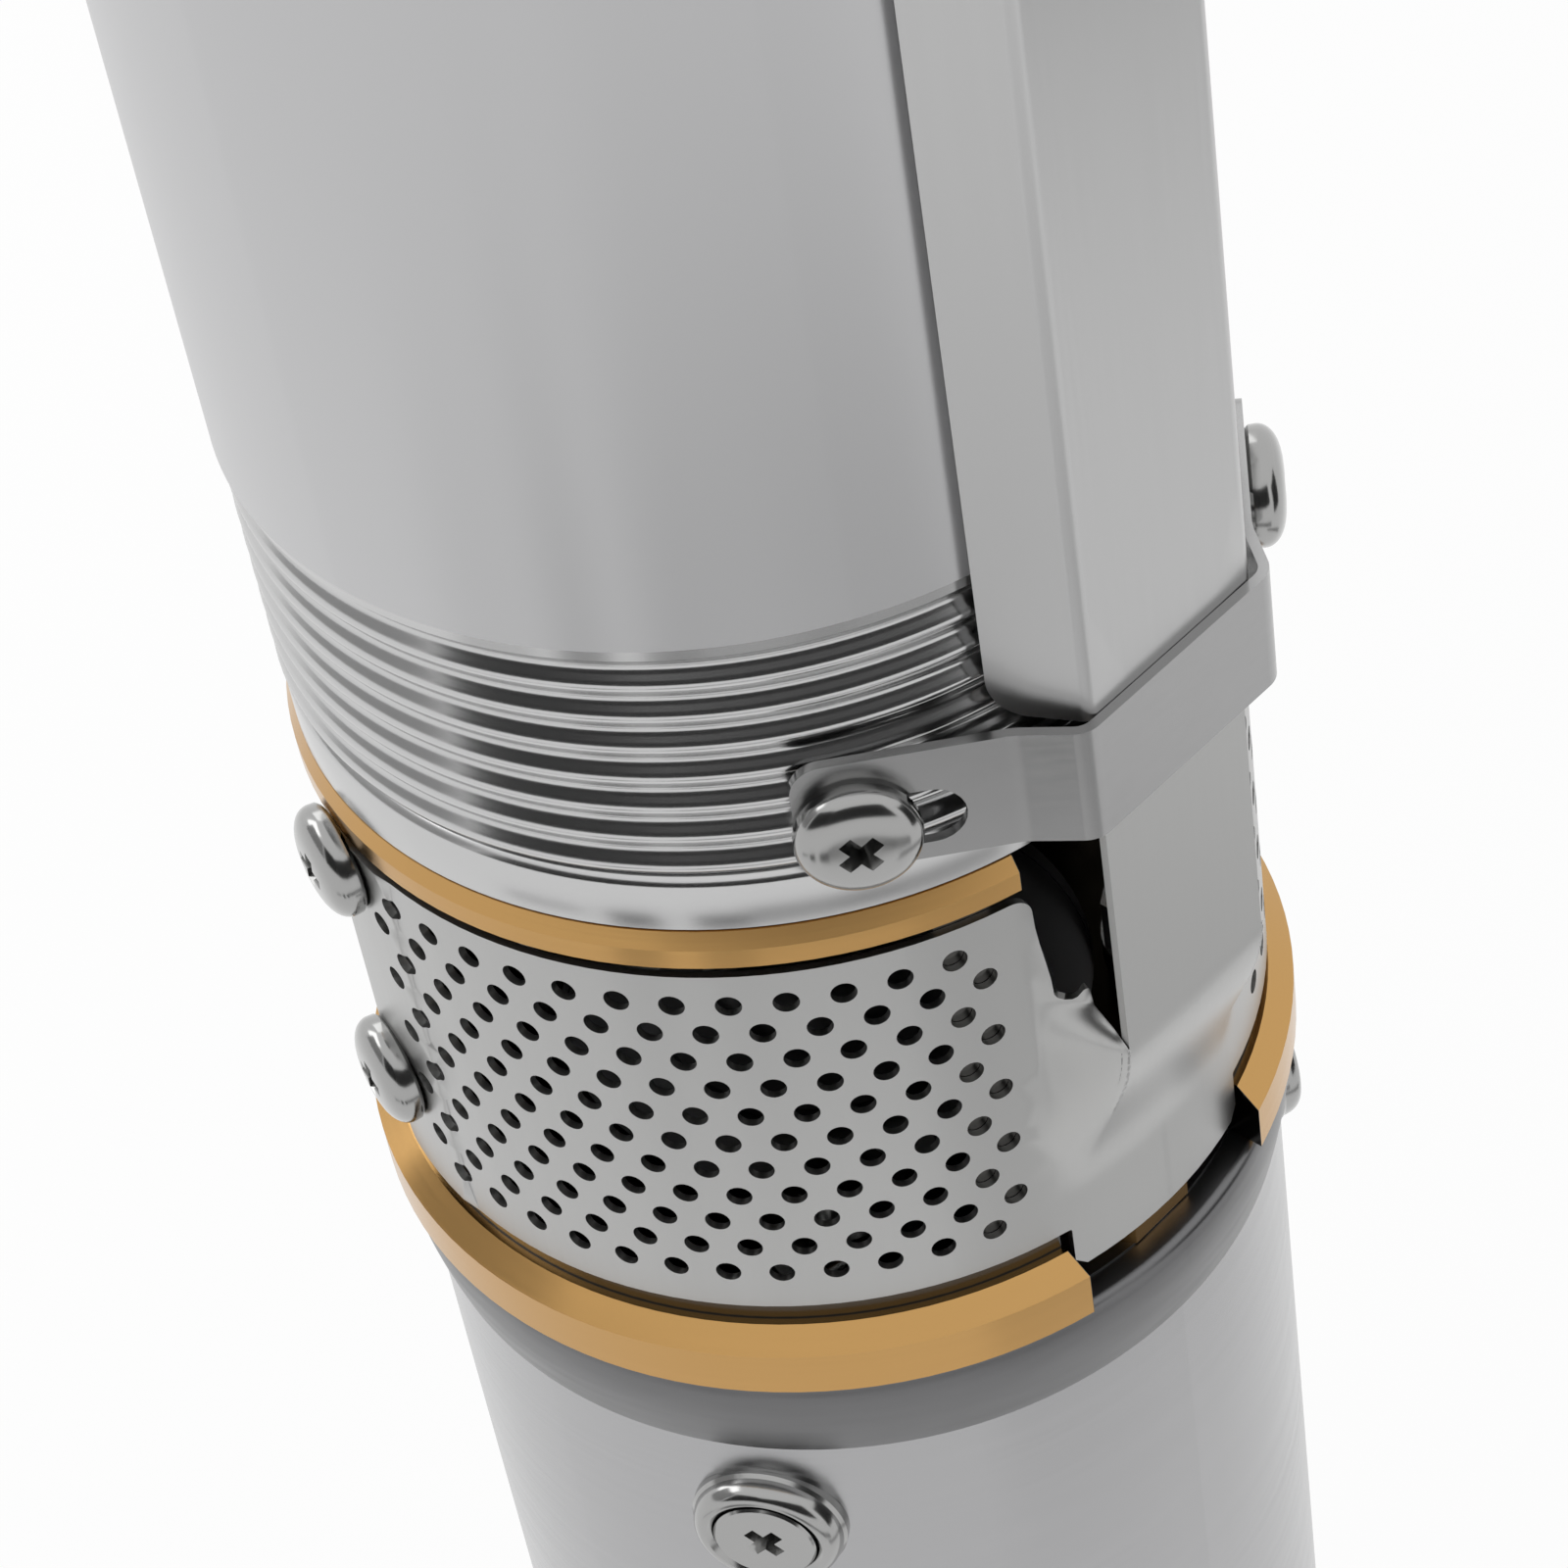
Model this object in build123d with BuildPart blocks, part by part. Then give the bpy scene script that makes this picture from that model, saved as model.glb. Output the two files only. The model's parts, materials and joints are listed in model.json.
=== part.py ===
"""Borehole submersible pump: a multistage wet end on a water-filled motor, for a 4 inch well.

Millimetres. +Z is up and is the shaft's axis, the origin is the centre of the motor's flat base,
and the cable runs up the +X side, so XZ is the plane of symmetry of the cable's guard and notches.
"""

import os
from math import acos, atan2, cos, degrees, hypot, pi, radians, sin, sqrt

from build123d import *

os.makedirs("parts", exist_ok=True)

# Driving dimensions: fits
slip = 0.05  # radial room of a located fit
film = 0.1  # water film between a running and a fixed face
run_gap = 0.3  # room round what turns or slides free

# Driving dimensions: motor
motor_radius = 46.0
motor_wall = 1.2
motor_tube_length = 304.0
base_rim_height = 14.0
base_spigot_height = 24.0
base_wall = 9.0
base_floor = 4.0
base_chamfer = 2.0
diaphragm_thickness = 2.0
diaphragm_depth = 24.0
thrust_plate_height = 6.0
thrust_boss_height = 2.0
thrust_pad_height = 4.0
thrust_pad_count = 3
thrust_pad_gap = 8.0
thrust_disc_height = 5.0
thrust_radius = 20.0
lower_bush_height = 18.0
bush_wall = 5.0
bracket_web = 8.0
winding_height = 24.0
winding_depth = 14.0
stator_length = 120.0
air_gap = 0.4
stator_wall = 19.5
end_ring_height = 8.0
motor_shaft_radius = 8.0
head_rim_height = 9.0
head_chamfer = 1.2
head_boss_inset = 1.5
head_boss_height = 3.3
head_spigot_height = 28.0
pilot_radius = 28.0
pilot_height = 5.0
upper_bush_height = 16.0
seal_wall = 7.0
seal_seat_height = 6.0
seal_ring_height = 8.0
slinger_radius = 18.0
slinger_height = 6.0
slinger_wall = 2.0
gland_radius = 6.0
gland_across_flats = 14.0
gland_depth = 14.0
gland_distance = 37.5
gland_hex_height = 7.0
cable_hole = 4.0

# Driving dimensions: fasteners
stud_radius = 4.0
stud_circle = 36.5
stud_angle = 45.0
stud_bite = 12.0
nut_across_flats = 13.0
nut_height = 6.5
washer_radius = 7.5
washer_height = 1.6
pan_head_radius = 5.75
pan_head_height = 3.4
pan_shank_radius = 2.4
pan_shank_length = 9.0
cup_radius = 8.15
cup_height = 3.0
cup_screw_radius = 5.5
cup_screw_edge = 12.3  # screw centre to the end of the motor tube
cup_screw_shank = 2.5
cup_screw_length = 10.0
cup_screw_count = 3
cup_screw_angle = 60.0

# Driving dimensions: suction housing and the flanges' cable notches
flange_radius = 48.5
flange_height = 5.4
flange_bevel = 2.0
window_height = 50.6
upper_flange_height = 4.0
upper_flange_chamfer = 0.7
upper_flange_slope = 1.8
notch_half_width = 13.25
notch_wall = 1.5  # left between the notch and the pilot bore
thread_zone = 36.0
suction_cavity = 34.0
seat_lip = 0.8  # wall of the lip that closes the gap under the strainer
suction_roof = 8.0
pillar_depth = 9.0
front_pillar_angle = 24.0
front_pillar_width = 7.0
side_pillar_angle = 108.0
side_pillar_width = 20.0
rear_pillar_width = 14.0

# Driving dimensions: strainer
strainer_radius = 46.0
sheet = 0.8
strainer_lift = 10.2  # strainer's lower edge above the suction housing's base
strainer_height = 46.4
hole_radius = 1.25
hole_step = 6.54  # degrees from hole to hole along a row
row_pitch = 3.75
row_count = 11
top_row_drop = 3.8  # strainer's upper edge to the first row of holes
panel_start = 22.5  # degrees from the cable to the nearest hole
panel_columns = 25  # half steps across a panel
front_end_angle = 113.0
rear_end_angle = 96.0
strainer_screw_angle = 109.0
strainer_screw_drop = 3.5
strainer_screw_pitch = 29.4
screw_stand_off = 0.25

# Driving dimensions: cable cover, guard and straps
cover_face = 52.0  # outer face of the flat tongue from the axis
tongue_half_width = 9.8
cover_base_half_width = 13.0
cover_low_lift = 5.5  # above the strainer's lower edge
cover_high_lift = 28.5
tongue_length = 37.5
window_low_half_width = 11.4
window_high_half_width = 13.1
window_lift = 34.0
apron_drop = 6.0
apron_half_width = 13.0
guard_thickness = 1.0
guard_half_width = 10.9
guard_base_half_width = 15.0
guard_corner = 2.0
guard_overhang = 10.0  # how far the guard stands above the sleeve
guard_tuck = 8.0
strap_thickness = 1.0
strap_height = 12.7
strap_rise = 13.75  # strap's middle above the end of the sleeve
strap_half_width = 12.6
strap_bend_half_width = 16.4
strap_bend_face = 48.8
strap_bend_radius = 1.8
strap_tab_length = 5.3
strap_screw_reach = 5.5
strap_screw_drop = 1.4
strap_slot_width = 6.2
strap_slot_reach = 6.6
screw_hole_depth = 9.0

# Driving dimensions: pump sleeve with its rolled thread
sleeve_radius = 46.2
sleeve_wall = 1.4
band_inset = 0.7
band_height = 6.3
rib_count = 7
rib_pitch = 3.6
rib_crest_inset = 0.5
rib_depth = 0.9
sleeve_taper = 1.8
thread_wall = 1.0

# Driving dimensions: stages
stage_count = 5
stage_pitch = 28.0
bowl_wall = 2.2
bowl_floor = 2.5
eye_radius = 17.0
neck_wall = 1.6
impeller_radius = 36.0
shroud = 1.5
passage = 7.0
hub_radius = 10.0
blade_count = 6
blade_thickness = 1.8
blade_turn = 62.0
vane_count = 7
vane_height = 9.5
vane_plate = 2.0
vane_turn = 48.0
hex_across_flats = 12.7
collar_height = 6.0

# Driving dimensions: top of the pump
top_bracket_height = 30.0
bracket_ring_wall = 5.0
bracket_arm = 7.0
top_bush_height = 20.0
top_bush_wall = 4.0
shaft_nut_height = 9.0
shaft_nut_across_flats = 19.0
coupling_radius = 13.0
coupling_length = 50.0
coupling_gap = 2.0
valve_lift = 8.0
valve_seat_height = 6.0
valve_seat_bore = 20.0
valve_overlap = 4.0
valve_disc_height = 4.0
valve_seal_height = 2.0
valve_stem_radius = 3.0
valve_stem_length = 36.0
valve_spring_solid = 6.0
spring_radius = 5.5
spring_wire = 0.8
spring_turns = 4.0
valve_chamber_wall = 10.0
head_shoulder_height = 7.0
outlet_neck_height = 22.0
outlet_wall = 6.5
outlet_radius = 19.6  # bore of the female G 1 1/4 thread
outlet_thread_length = 21.0
outlet_hex_height = 18.0
guide_hub_radius = 7.0
guide_arm = 4.0
ear_thickness = 7.0
ear_radius = 7.0
ear_distance = 34.0
ear_hole_radius = 4.0
ear_hole_height = 14.0

# Levels and radii that follow
motor_bore = motor_radius - motor_wall
motor_fit = motor_bore - slip
tube_top = base_rim_height + motor_tube_length
base_top = base_rim_height + base_spigot_height
thrust_low = base_top + diaphragm_thickness
bracket_low = thrust_low + thrust_plate_height
pad_low = bracket_low + thrust_boss_height
disc_low = pad_low + thrust_pad_height + film
disc_top = disc_low + thrust_disc_height
bracket_ledge = disc_top + 2.0
bracket_top = bracket_ledge + lower_bush_height
bush_radius = motor_shaft_radius + film / 2 + bush_wall
head_low = tube_top - head_spigot_height
head_rim_top = tube_top + head_rim_height
suction_low = head_rim_top + head_boss_height
pilot_top = suction_low + pilot_height
upper_bush_top = head_low + upper_bush_height
seal_radius = motor_shaft_radius + seal_wall
seal_floor = upper_bush_top
stator_low = (bracket_top + head_low - stator_length) / 2

flange_top = suction_low + flange_height + flange_bevel
upper_flange_low = flange_top + window_height
sleeve_low = upper_flange_low + upper_flange_height
stack_low = sleeve_low + thread_zone
stack_top = stack_low + stage_count * stage_pitch
bracket_end = stack_top + top_bracket_height
sleeve_top = bracket_end + thread_zone
head_flange_top = sleeve_top + upper_flange_height
outlet_low = head_flange_top + head_shoulder_height
outlet_top = outlet_low + outlet_neck_height + outlet_hex_height

strainer_low = suction_low + strainer_lift
strainer_top = strainer_low + strainer_height
rear_radius = strainer_radius - sheet - slip
front_seat = strainer_radius - sheet - slip
rear_seat = rear_radius - sheet - slip
rib_crest = sleeve_radius - rib_crest_inset
rib_valley = rib_crest - rib_depth
thread_bore = rib_valley - thread_wall
thread_fit = thread_bore - slip
band_radius = sleeve_radius - band_inset
stack_radius = thread_bore - 2 * slip
sleeve_bore = sleeve_radius - sleeve_wall

cup_angles = [cup_screw_angle + step * 360 / cup_screw_count for step in range(cup_screw_count)]
stud_angles = (stud_angle, 180 - stud_angle, stud_angle - 180, -stud_angle)
tab_face = sleeve_radius + run_gap + strap_thickness
tab_tilt = degrees(acos(tab_face / hypot(strap_bend_face, strap_bend_half_width)))
tab_angle = degrees(atan2(strap_bend_half_width, strap_bend_face)) + tab_tilt
lower_strap_middle = sleeve_low + strap_rise
upper_strap_middle = sleeve_top - strap_rise


def around(radius, angle):
    """Point of a horizontal plane at a radius and an angle in degrees."""
    return radius * cos(radians(angle)), radius * sin(radians(angle))


def facing(angle, height=0.0, radius=0.0):
    """Upright plane that faces outward at an angle, its x along the circle and its y up."""
    x, y = around(radius, angle)
    out = Vector(*around(1, angle), 0)
    along = Vector(*around(1, angle + 90), 0)
    return Plane(origin=(x, y, height), x_dir=along, z_dir=out)


def turn(*corners, mode=Mode.ADD):
    """Turned solid about the shaft's axis, from its half section's corners (radius, height)."""
    with BuildSketch(Plane.XZ) as half_section:
        with BuildLine():
            Polyline(*corners, close=True)
        make_face()
    revolve(half_section.sketch, axis=Axis.Z, mode=mode)


def ring(outer, inner, low, height):
    """Plain ring about the shaft's axis."""
    with BuildSketch(Plane.XY.offset(low)) as annulus:
        Circle(outer)
        Circle(inner, mode=Mode.SUBTRACT)
    extrude(annulus.sketch, amount=height)


def bore(radius, low, height):
    """Round hole along the shaft's axis."""
    with BuildSketch(Plane.XY.offset(low)) as circle:
        Circle(radius)
    extrude(circle.sketch, amount=height, mode=Mode.SUBTRACT)


def wedge(radius, start, stop):
    """Sketch of a sector wider than a radius, from one angle to another."""
    middle = (start + stop) / 2
    reach = 2 * radius
    with BuildSketch(mode=Mode.PRIVATE) as sector:
        with BuildLine():
            Polyline((0, 0), around(reach, start), around(reach, middle), around(reach, stop), close=True)
        make_face()
    return sector.sketch


def on_tab(side, level, reach, lift=0.0):
    """Upright plane on a strap's tab, at a reach from its tangent to the sleeve towards the cable."""
    x, y = around(tab_face + lift, side * tab_angle)
    along_x, along_y = around(reach, side * (tab_angle - 90))
    out = Vector(*around(1, side * tab_angle), 0)
    along = Vector(*around(1, side * tab_angle + 90), 0)
    return Plane(origin=(x + along_x, y + along_y, level), x_dir=along, z_dir=out)


# Base cap: flush with the motor tube, its spigot held by the lower screws
with BuildPart() as base_cap:
    turn(
        (0, 0),
        (motor_radius - base_chamfer, 0),
        (motor_radius, base_chamfer),
        (motor_radius, base_rim_height),
        (motor_fit, base_rim_height),
        (motor_fit, base_top),
        (motor_fit - base_wall, base_top),
        (motor_fit - base_wall, base_floor),
        (0, base_floor),
    )
    with BuildSketch():
        with PolarLocations(motor_fit / 2, 3):
            Circle(stud_radius / 2)
    extrude(amount=base_floor, mode=Mode.SUBTRACT)
    for angle in cup_angles:
        with BuildSketch(facing(angle, base_rim_height + cup_screw_edge)):
            Circle(cup_screw_shank + slip)
        extrude(amount=motor_radius, mode=Mode.SUBTRACT)
base_cap.part.label = "base_cap"
export_step(base_cap.part, "parts/base_cap.step")

# Diaphragm: rubber cup that lets the motor's filling expand
diaphragm_rim = motor_fit - base_wall
with BuildPart() as diaphragm:
    turn(
        (motor_fit, base_top),
        (motor_fit, thrust_low),
        (diaphragm_rim - 3 * diaphragm_thickness, thrust_low),
        (diaphragm_rim / 2, thrust_low - diaphragm_depth),
        (0, thrust_low - diaphragm_depth),
        (0, thrust_low - diaphragm_depth - diaphragm_thickness),
        (diaphragm_rim / 2 + diaphragm_thickness, thrust_low - diaphragm_depth - diaphragm_thickness),
        (diaphragm_rim - diaphragm_thickness, base_top),
    )
diaphragm.part.label = "diaphragm"
export_step(diaphragm.part, "parts/diaphragm.step")

# Thrust plate with a ring of vents round its boss
with BuildPart() as thrust_plate:
    turn(
        (0, thrust_low),
        (motor_fit, thrust_low),
        (motor_fit, bracket_low),
        (thrust_radius, bracket_low),
        (thrust_radius, pad_low),
        (0, pad_low),
    )
    with BuildSketch(Plane.XY.offset(thrust_low)):
        with PolarLocations((thrust_radius + motor_fit - base_wall) / 2, 6):
            Circle(cup_screw_shank)
    extrude(amount=thrust_plate_height, mode=Mode.SUBTRACT)
thrust_plate.part.label = "thrust_plate"
export_step(thrust_plate.part, "parts/thrust_plate.step")

# Tilting thrust pads: sectors with water gaps between them
with BuildPart() as thrust_pads:
    ring(thrust_radius - 1, thrust_radius / 2, pad_low, thrust_pad_height)
    with BuildSketch(Plane.XY.offset(pad_low)):
        pad_gap = wedge(thrust_radius, -thrust_pad_gap / 2, thrust_pad_gap / 2)
        for step in range(thrust_pad_count):
            add(pad_gap, rotation=step * 360 / thrust_pad_count)
    extrude(amount=thrust_pad_height, mode=Mode.SUBTRACT)
thrust_pads.part.label = "thrust_pads"
export_step(thrust_pads.part, "parts/thrust_pads.step")

# Thrust disc on the lower end of the shaft
with BuildPart() as thrust_disc:
    ring(thrust_radius - 1, motor_shaft_radius + slip, disc_low, thrust_disc_height)
thrust_disc.part.label = "thrust_disc"
export_step(thrust_disc.part, "parts/thrust_disc.step")

# Lower bracket: carries the lower bush over the thrust bearing's chamber
with BuildPart() as lower_bracket:
    turn(
        (thrust_radius + 4, bracket_low),
        (motor_fit, bracket_low),
        (motor_fit, bracket_top),
        (motor_fit - base_wall, bracket_top),
        (motor_fit - base_wall, bracket_ledge + bracket_web),
        (bush_radius + slip + bush_wall, bracket_ledge + bracket_web),
        (bush_radius + slip + bush_wall, bracket_top),
        (bush_radius + slip, bracket_top),
        (bush_radius + slip, bracket_ledge),
        (thrust_radius + 4, bracket_ledge),
    )
lower_bracket.part.label = "lower_bracket"
export_step(lower_bracket.part, "parts/lower_bracket.step")

# Carbon bushes that carry the motor shaft
with BuildPart() as lower_bush:
    ring(bush_radius, motor_shaft_radius + film / 2, bracket_ledge, lower_bush_height)
lower_bush.part.label = "lower_bush"
export_step(lower_bush.part, "parts/lower_bush.step")

with BuildPart() as upper_bush:
    ring(bush_radius, motor_shaft_radius + film / 2, head_low, upper_bush_height)
upper_bush.part.label = "upper_bush"
export_step(upper_bush.part, "parts/upper_bush.step")

# Motor tube with the screw holes near both of its ends
with BuildPart() as motor_tube:
    ring(motor_radius, motor_bore, base_rim_height, motor_tube_length)
    for level in (base_rim_height + cup_screw_edge, tube_top - cup_screw_edge):
        for angle in cup_angles:
            with BuildSketch(facing(angle, level)):
                Circle(cup_screw_shank + slip)
            extrude(amount=2 * motor_radius, mode=Mode.SUBTRACT)
motor_tube.part.label = "motor_tube"
export_step(motor_tube.part, "parts/motor_tube.step")

# Stator: laminated core and the two ends of its winding
with BuildPart() as stator_core:
    ring(motor_fit, motor_fit - stator_wall, stator_low, stator_length)
stator_core.part.label = "stator_core"
export_step(stator_core.part, "parts/stator_core.step")

winding_inner = motor_fit - stator_wall + 1
winding_outer = winding_inner + winding_depth
with BuildPart() as stator_winding:
    for low, high in (
        (stator_low - winding_height, stator_low),
        (stator_low + stator_length, stator_low + stator_length + winding_height),
    ):
        ring(winding_outer, winding_inner, low, high - low)
    chamfer(stator_winding.faces().sort_by(Axis.Z)[0].edges(), length=winding_depth / 5)
    chamfer(stator_winding.faces().sort_by(Axis.Z)[-1].edges(), length=winding_depth / 5)
stator_winding.part.label = "stator_winding"
export_step(stator_winding.part, "parts/stator_winding.step")

# Rotor on the motor shaft
rotor_radius = motor_fit - stator_wall - air_gap
with BuildPart() as rotor_core:
    turn(
        (motor_shaft_radius + slip, stator_low - end_ring_height),
        (rotor_radius - 2, stator_low - end_ring_height),
        (rotor_radius - 2, stator_low),
        (rotor_radius, stator_low),
        (rotor_radius, stator_low + stator_length),
        (rotor_radius - 2, stator_low + stator_length),
        (rotor_radius - 2, stator_low + stator_length + end_ring_height),
        (motor_shaft_radius + slip, stator_low + stator_length + end_ring_height),
    )
rotor_core.part.label = "rotor_core"
export_step(rotor_core.part, "parts/rotor_core.step")

slinger_low = pilot_top + run_gap
coupling_low = slinger_low + slinger_height + slip
coupling_middle = coupling_low + coupling_length / 2
with BuildPart() as motor_shaft:
    turn(
        (0, disc_low),
        (motor_shaft_radius, disc_low),
        (motor_shaft_radius, coupling_middle - coupling_gap / 2 - 1),
        (motor_shaft_radius - 1, coupling_middle - coupling_gap / 2),
        (0, coupling_middle - coupling_gap / 2),
    )
motor_shaft.part.label = "motor_shaft"
export_step(motor_shaft.part, "parts/motor_shaft.step")

# Motor head: closes the tube, holds bush, seal, studs and the cable's gland
with BuildPart() as motor_head:
    turn(
        (bush_radius + slip, head_low),
        (motor_fit, head_low),
        (motor_fit, tube_top),
        (motor_radius, tube_top),
        (motor_radius, head_rim_top - head_chamfer),
        (motor_radius - head_chamfer, head_rim_top),
        (motor_radius - head_boss_inset, head_rim_top),
        (motor_radius - head_boss_inset, suction_low),
        (pilot_radius - slip, suction_low),
        (pilot_radius - slip, pilot_top),
        (seal_radius + slip, pilot_top),
        (seal_radius + slip, seal_floor),
        (bush_radius + slip, seal_floor),
    )
    with BuildSketch(Plane.XY.offset(suction_low)):
        for angle in stud_angles:
            with Locations(around(stud_circle, angle)):
                Circle(stud_radius)
    extrude(amount=-stud_bite, mode=Mode.SUBTRACT)
    with BuildSketch(Plane.XY.offset(suction_low)):
        with Locations((gland_distance, 0)):
            Circle(gland_radius + slip)
    extrude(amount=-gland_depth, mode=Mode.SUBTRACT)
    with BuildSketch(Plane.XY.offset(head_low)):
        with Locations((gland_distance, 0)):
            Circle(cable_hole)
    extrude(amount=head_spigot_height, mode=Mode.SUBTRACT)
    for angle in cup_angles:
        with BuildSketch(facing(angle, tube_top - cup_screw_edge, motor_radius)):
            Circle(cup_screw_shank + slip)
        extrude(amount=-cup_screw_length, mode=Mode.SUBTRACT)
motor_head.part.label = "motor_head"
export_step(motor_head.part, "parts/motor_head.step")

# Shaft seal: a fixed seat, and a ring that turns on it
with BuildPart() as seal_seat:
    ring(seal_radius, motor_shaft_radius + run_gap, seal_floor, seal_seat_height)
seal_seat.part.label = "seal_seat"
export_step(seal_seat.part, "parts/seal_seat.step")

with BuildPart() as seal_ring:
    turn(
        (motor_shaft_radius + slip, seal_floor + seal_seat_height + film),
        (seal_radius - 2, seal_floor + seal_seat_height + film),
        (seal_radius - 2, seal_floor + seal_seat_height + seal_ring_height - 2),
        (seal_radius - 4, seal_floor + seal_seat_height + seal_ring_height),
        (motor_shaft_radius + slip, seal_floor + seal_seat_height + seal_ring_height),
    )
seal_ring.part.label = "seal_ring"
export_step(seal_ring.part, "parts/seal_ring.step")

# Rubber sand slinger: an umbrella over the seal
with BuildPart() as sand_slinger:
    turn(
        (motor_shaft_radius + slip, slinger_low),
        (motor_shaft_radius + 3, slinger_low),
        (slinger_radius, slinger_low),
        (slinger_radius, slinger_low + slinger_wall),
        (motor_shaft_radius + 3, slinger_low + slinger_height),
        (motor_shaft_radius + slip, slinger_low + slinger_height),
    )
sand_slinger.part.label = "sand_slinger"
export_step(sand_slinger.part, "parts/sand_slinger.step")

# Coupling: round bore for the motor shaft below, hexagon for the pump shaft above
with BuildPart() as coupling:
    ring(coupling_radius, motor_shaft_radius + slip, coupling_low, coupling_length / 2)
    with BuildSketch(Plane.XY.offset(coupling_middle)):
        Circle(coupling_radius)
        RegularPolygon(hex_across_flats / 2 + slip, 6, major_radius=False, mode=Mode.SUBTRACT)
    extrude(amount=coupling_length / 2)
    chamfer(coupling.edges().filter_by(GeomType.CIRCLE).group_by(Axis.Z)[-1], length=1)
coupling.part.label = "coupling"
export_step(coupling.part, "parts/coupling.step")

# Cable gland: hexagon on a plug that screws into the motor head
with BuildPart() as cable_gland:
    with BuildSketch(Plane.XY.offset(suction_low - gland_depth)):
        with Locations((gland_distance, 0)):
            Circle(gland_radius)
    extrude(amount=gland_depth)
    with BuildSketch(Plane.XY.offset(suction_low)):
        with Locations((gland_distance, 0)):
            RegularPolygon(gland_across_flats / 2, 6, major_radius=False, rotation=30)
    extrude(amount=gland_hex_height)
    with BuildSketch(Plane.XY.offset(suction_low - gland_depth)):
        with Locations((gland_distance, 0)):
            Circle(cable_hole)
    extrude(amount=gland_depth + gland_hex_height, mode=Mode.SUBTRACT)
cable_gland.part.label = "cable_gland"
export_step(cable_gland.part, "parts/cable_gland.step")

# Studs, washers and nuts that join motor and pump
stud_places = [around(stud_circle, angle) for angle in stud_angles]
washer_low = flange_top
nut_low = washer_low + washer_height
with BuildPart() as studs:
    with BuildSketch(Plane.XY.offset(suction_low - stud_bite)):
        with Locations(*stud_places):
            Circle(stud_radius - slip)
    extrude(amount=nut_low + nut_height + 3 - suction_low + stud_bite)
studs.part.label = "studs"
export_step(studs.part, "parts/studs.step")

with BuildPart() as stud_washers:
    with BuildSketch(Plane.XY.offset(washer_low)):
        with Locations(*stud_places):
            Circle(washer_radius)
            Circle(stud_radius, mode=Mode.SUBTRACT)
    extrude(amount=washer_height)
stud_washers.part.label = "stud_washers"
export_step(stud_washers.part, "parts/stud_washers.step")

with BuildPart() as stud_nuts:
    with BuildSketch(Plane.XY.offset(nut_low)):
        with Locations(*stud_places):
            RegularPolygon(nut_across_flats / 2, 6, major_radius=False)
            Circle(stud_radius, mode=Mode.SUBTRACT)
    extrude(amount=nut_height)
stud_nuts.part.label = "stud_nuts"
export_step(stud_nuts.part, "parts/stud_nuts.step")

# Finishing washers and countersunk screws round both ends of the motor tube
cup_places = [
    facing(angle, level, motor_radius)
    for level in (base_rim_height + cup_screw_edge, tube_top - cup_screw_edge)
    for angle in cup_angles
]
cup_edge_drop = motor_radius - sqrt(motor_radius**2 - cup_radius**2)


def local_turn(plane, *corners):
    """Turned solid about a plane's normal, from its half section's corners (radius, height)."""
    upright = Plane(origin=plane.origin, x_dir=plane.x_dir, z_dir=-plane.y_dir)
    with BuildSketch(upright) as half_section:
        with BuildLine():
            Polyline(*corners, close=True)
        make_face()
    revolve(half_section.sketch, axis=Axis(plane.origin, plane.z_dir))


with BuildPart() as screw_cups:
    for place in cup_places:
        local_turn(
            place,
            (cup_screw_shank + slip, -cup_edge_drop),
            (cup_radius, -cup_edge_drop),
            (cup_radius, 0.6),
            (cup_screw_radius + 0.8, cup_height),
            (cup_screw_radius + slip, cup_height),
            (cup_screw_shank + slip, cup_height - cup_screw_radius + cup_screw_shank),
        )
    with BuildSketch(Plane.XY):
        Circle(motor_radius)
    extrude(amount=tube_top, mode=Mode.SUBTRACT)
screw_cups.part.label = "screw_cups"
export_step(screw_cups.part, "parts/screw_cups.step")

with BuildPart() as tube_screws:
    for place in cup_places:
        local_turn(
            place,
            (0, cup_height),
            (cup_screw_radius, cup_height),
            (cup_screw_shank, cup_height - cup_screw_radius + cup_screw_shank),
            (cup_screw_shank, -cup_screw_length + 1),
            (0, -cup_screw_length + 1),
        )
tube_screws.part.label = "tube_screws"
export_step(tube_screws.part, "parts/tube_screws.step")

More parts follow.
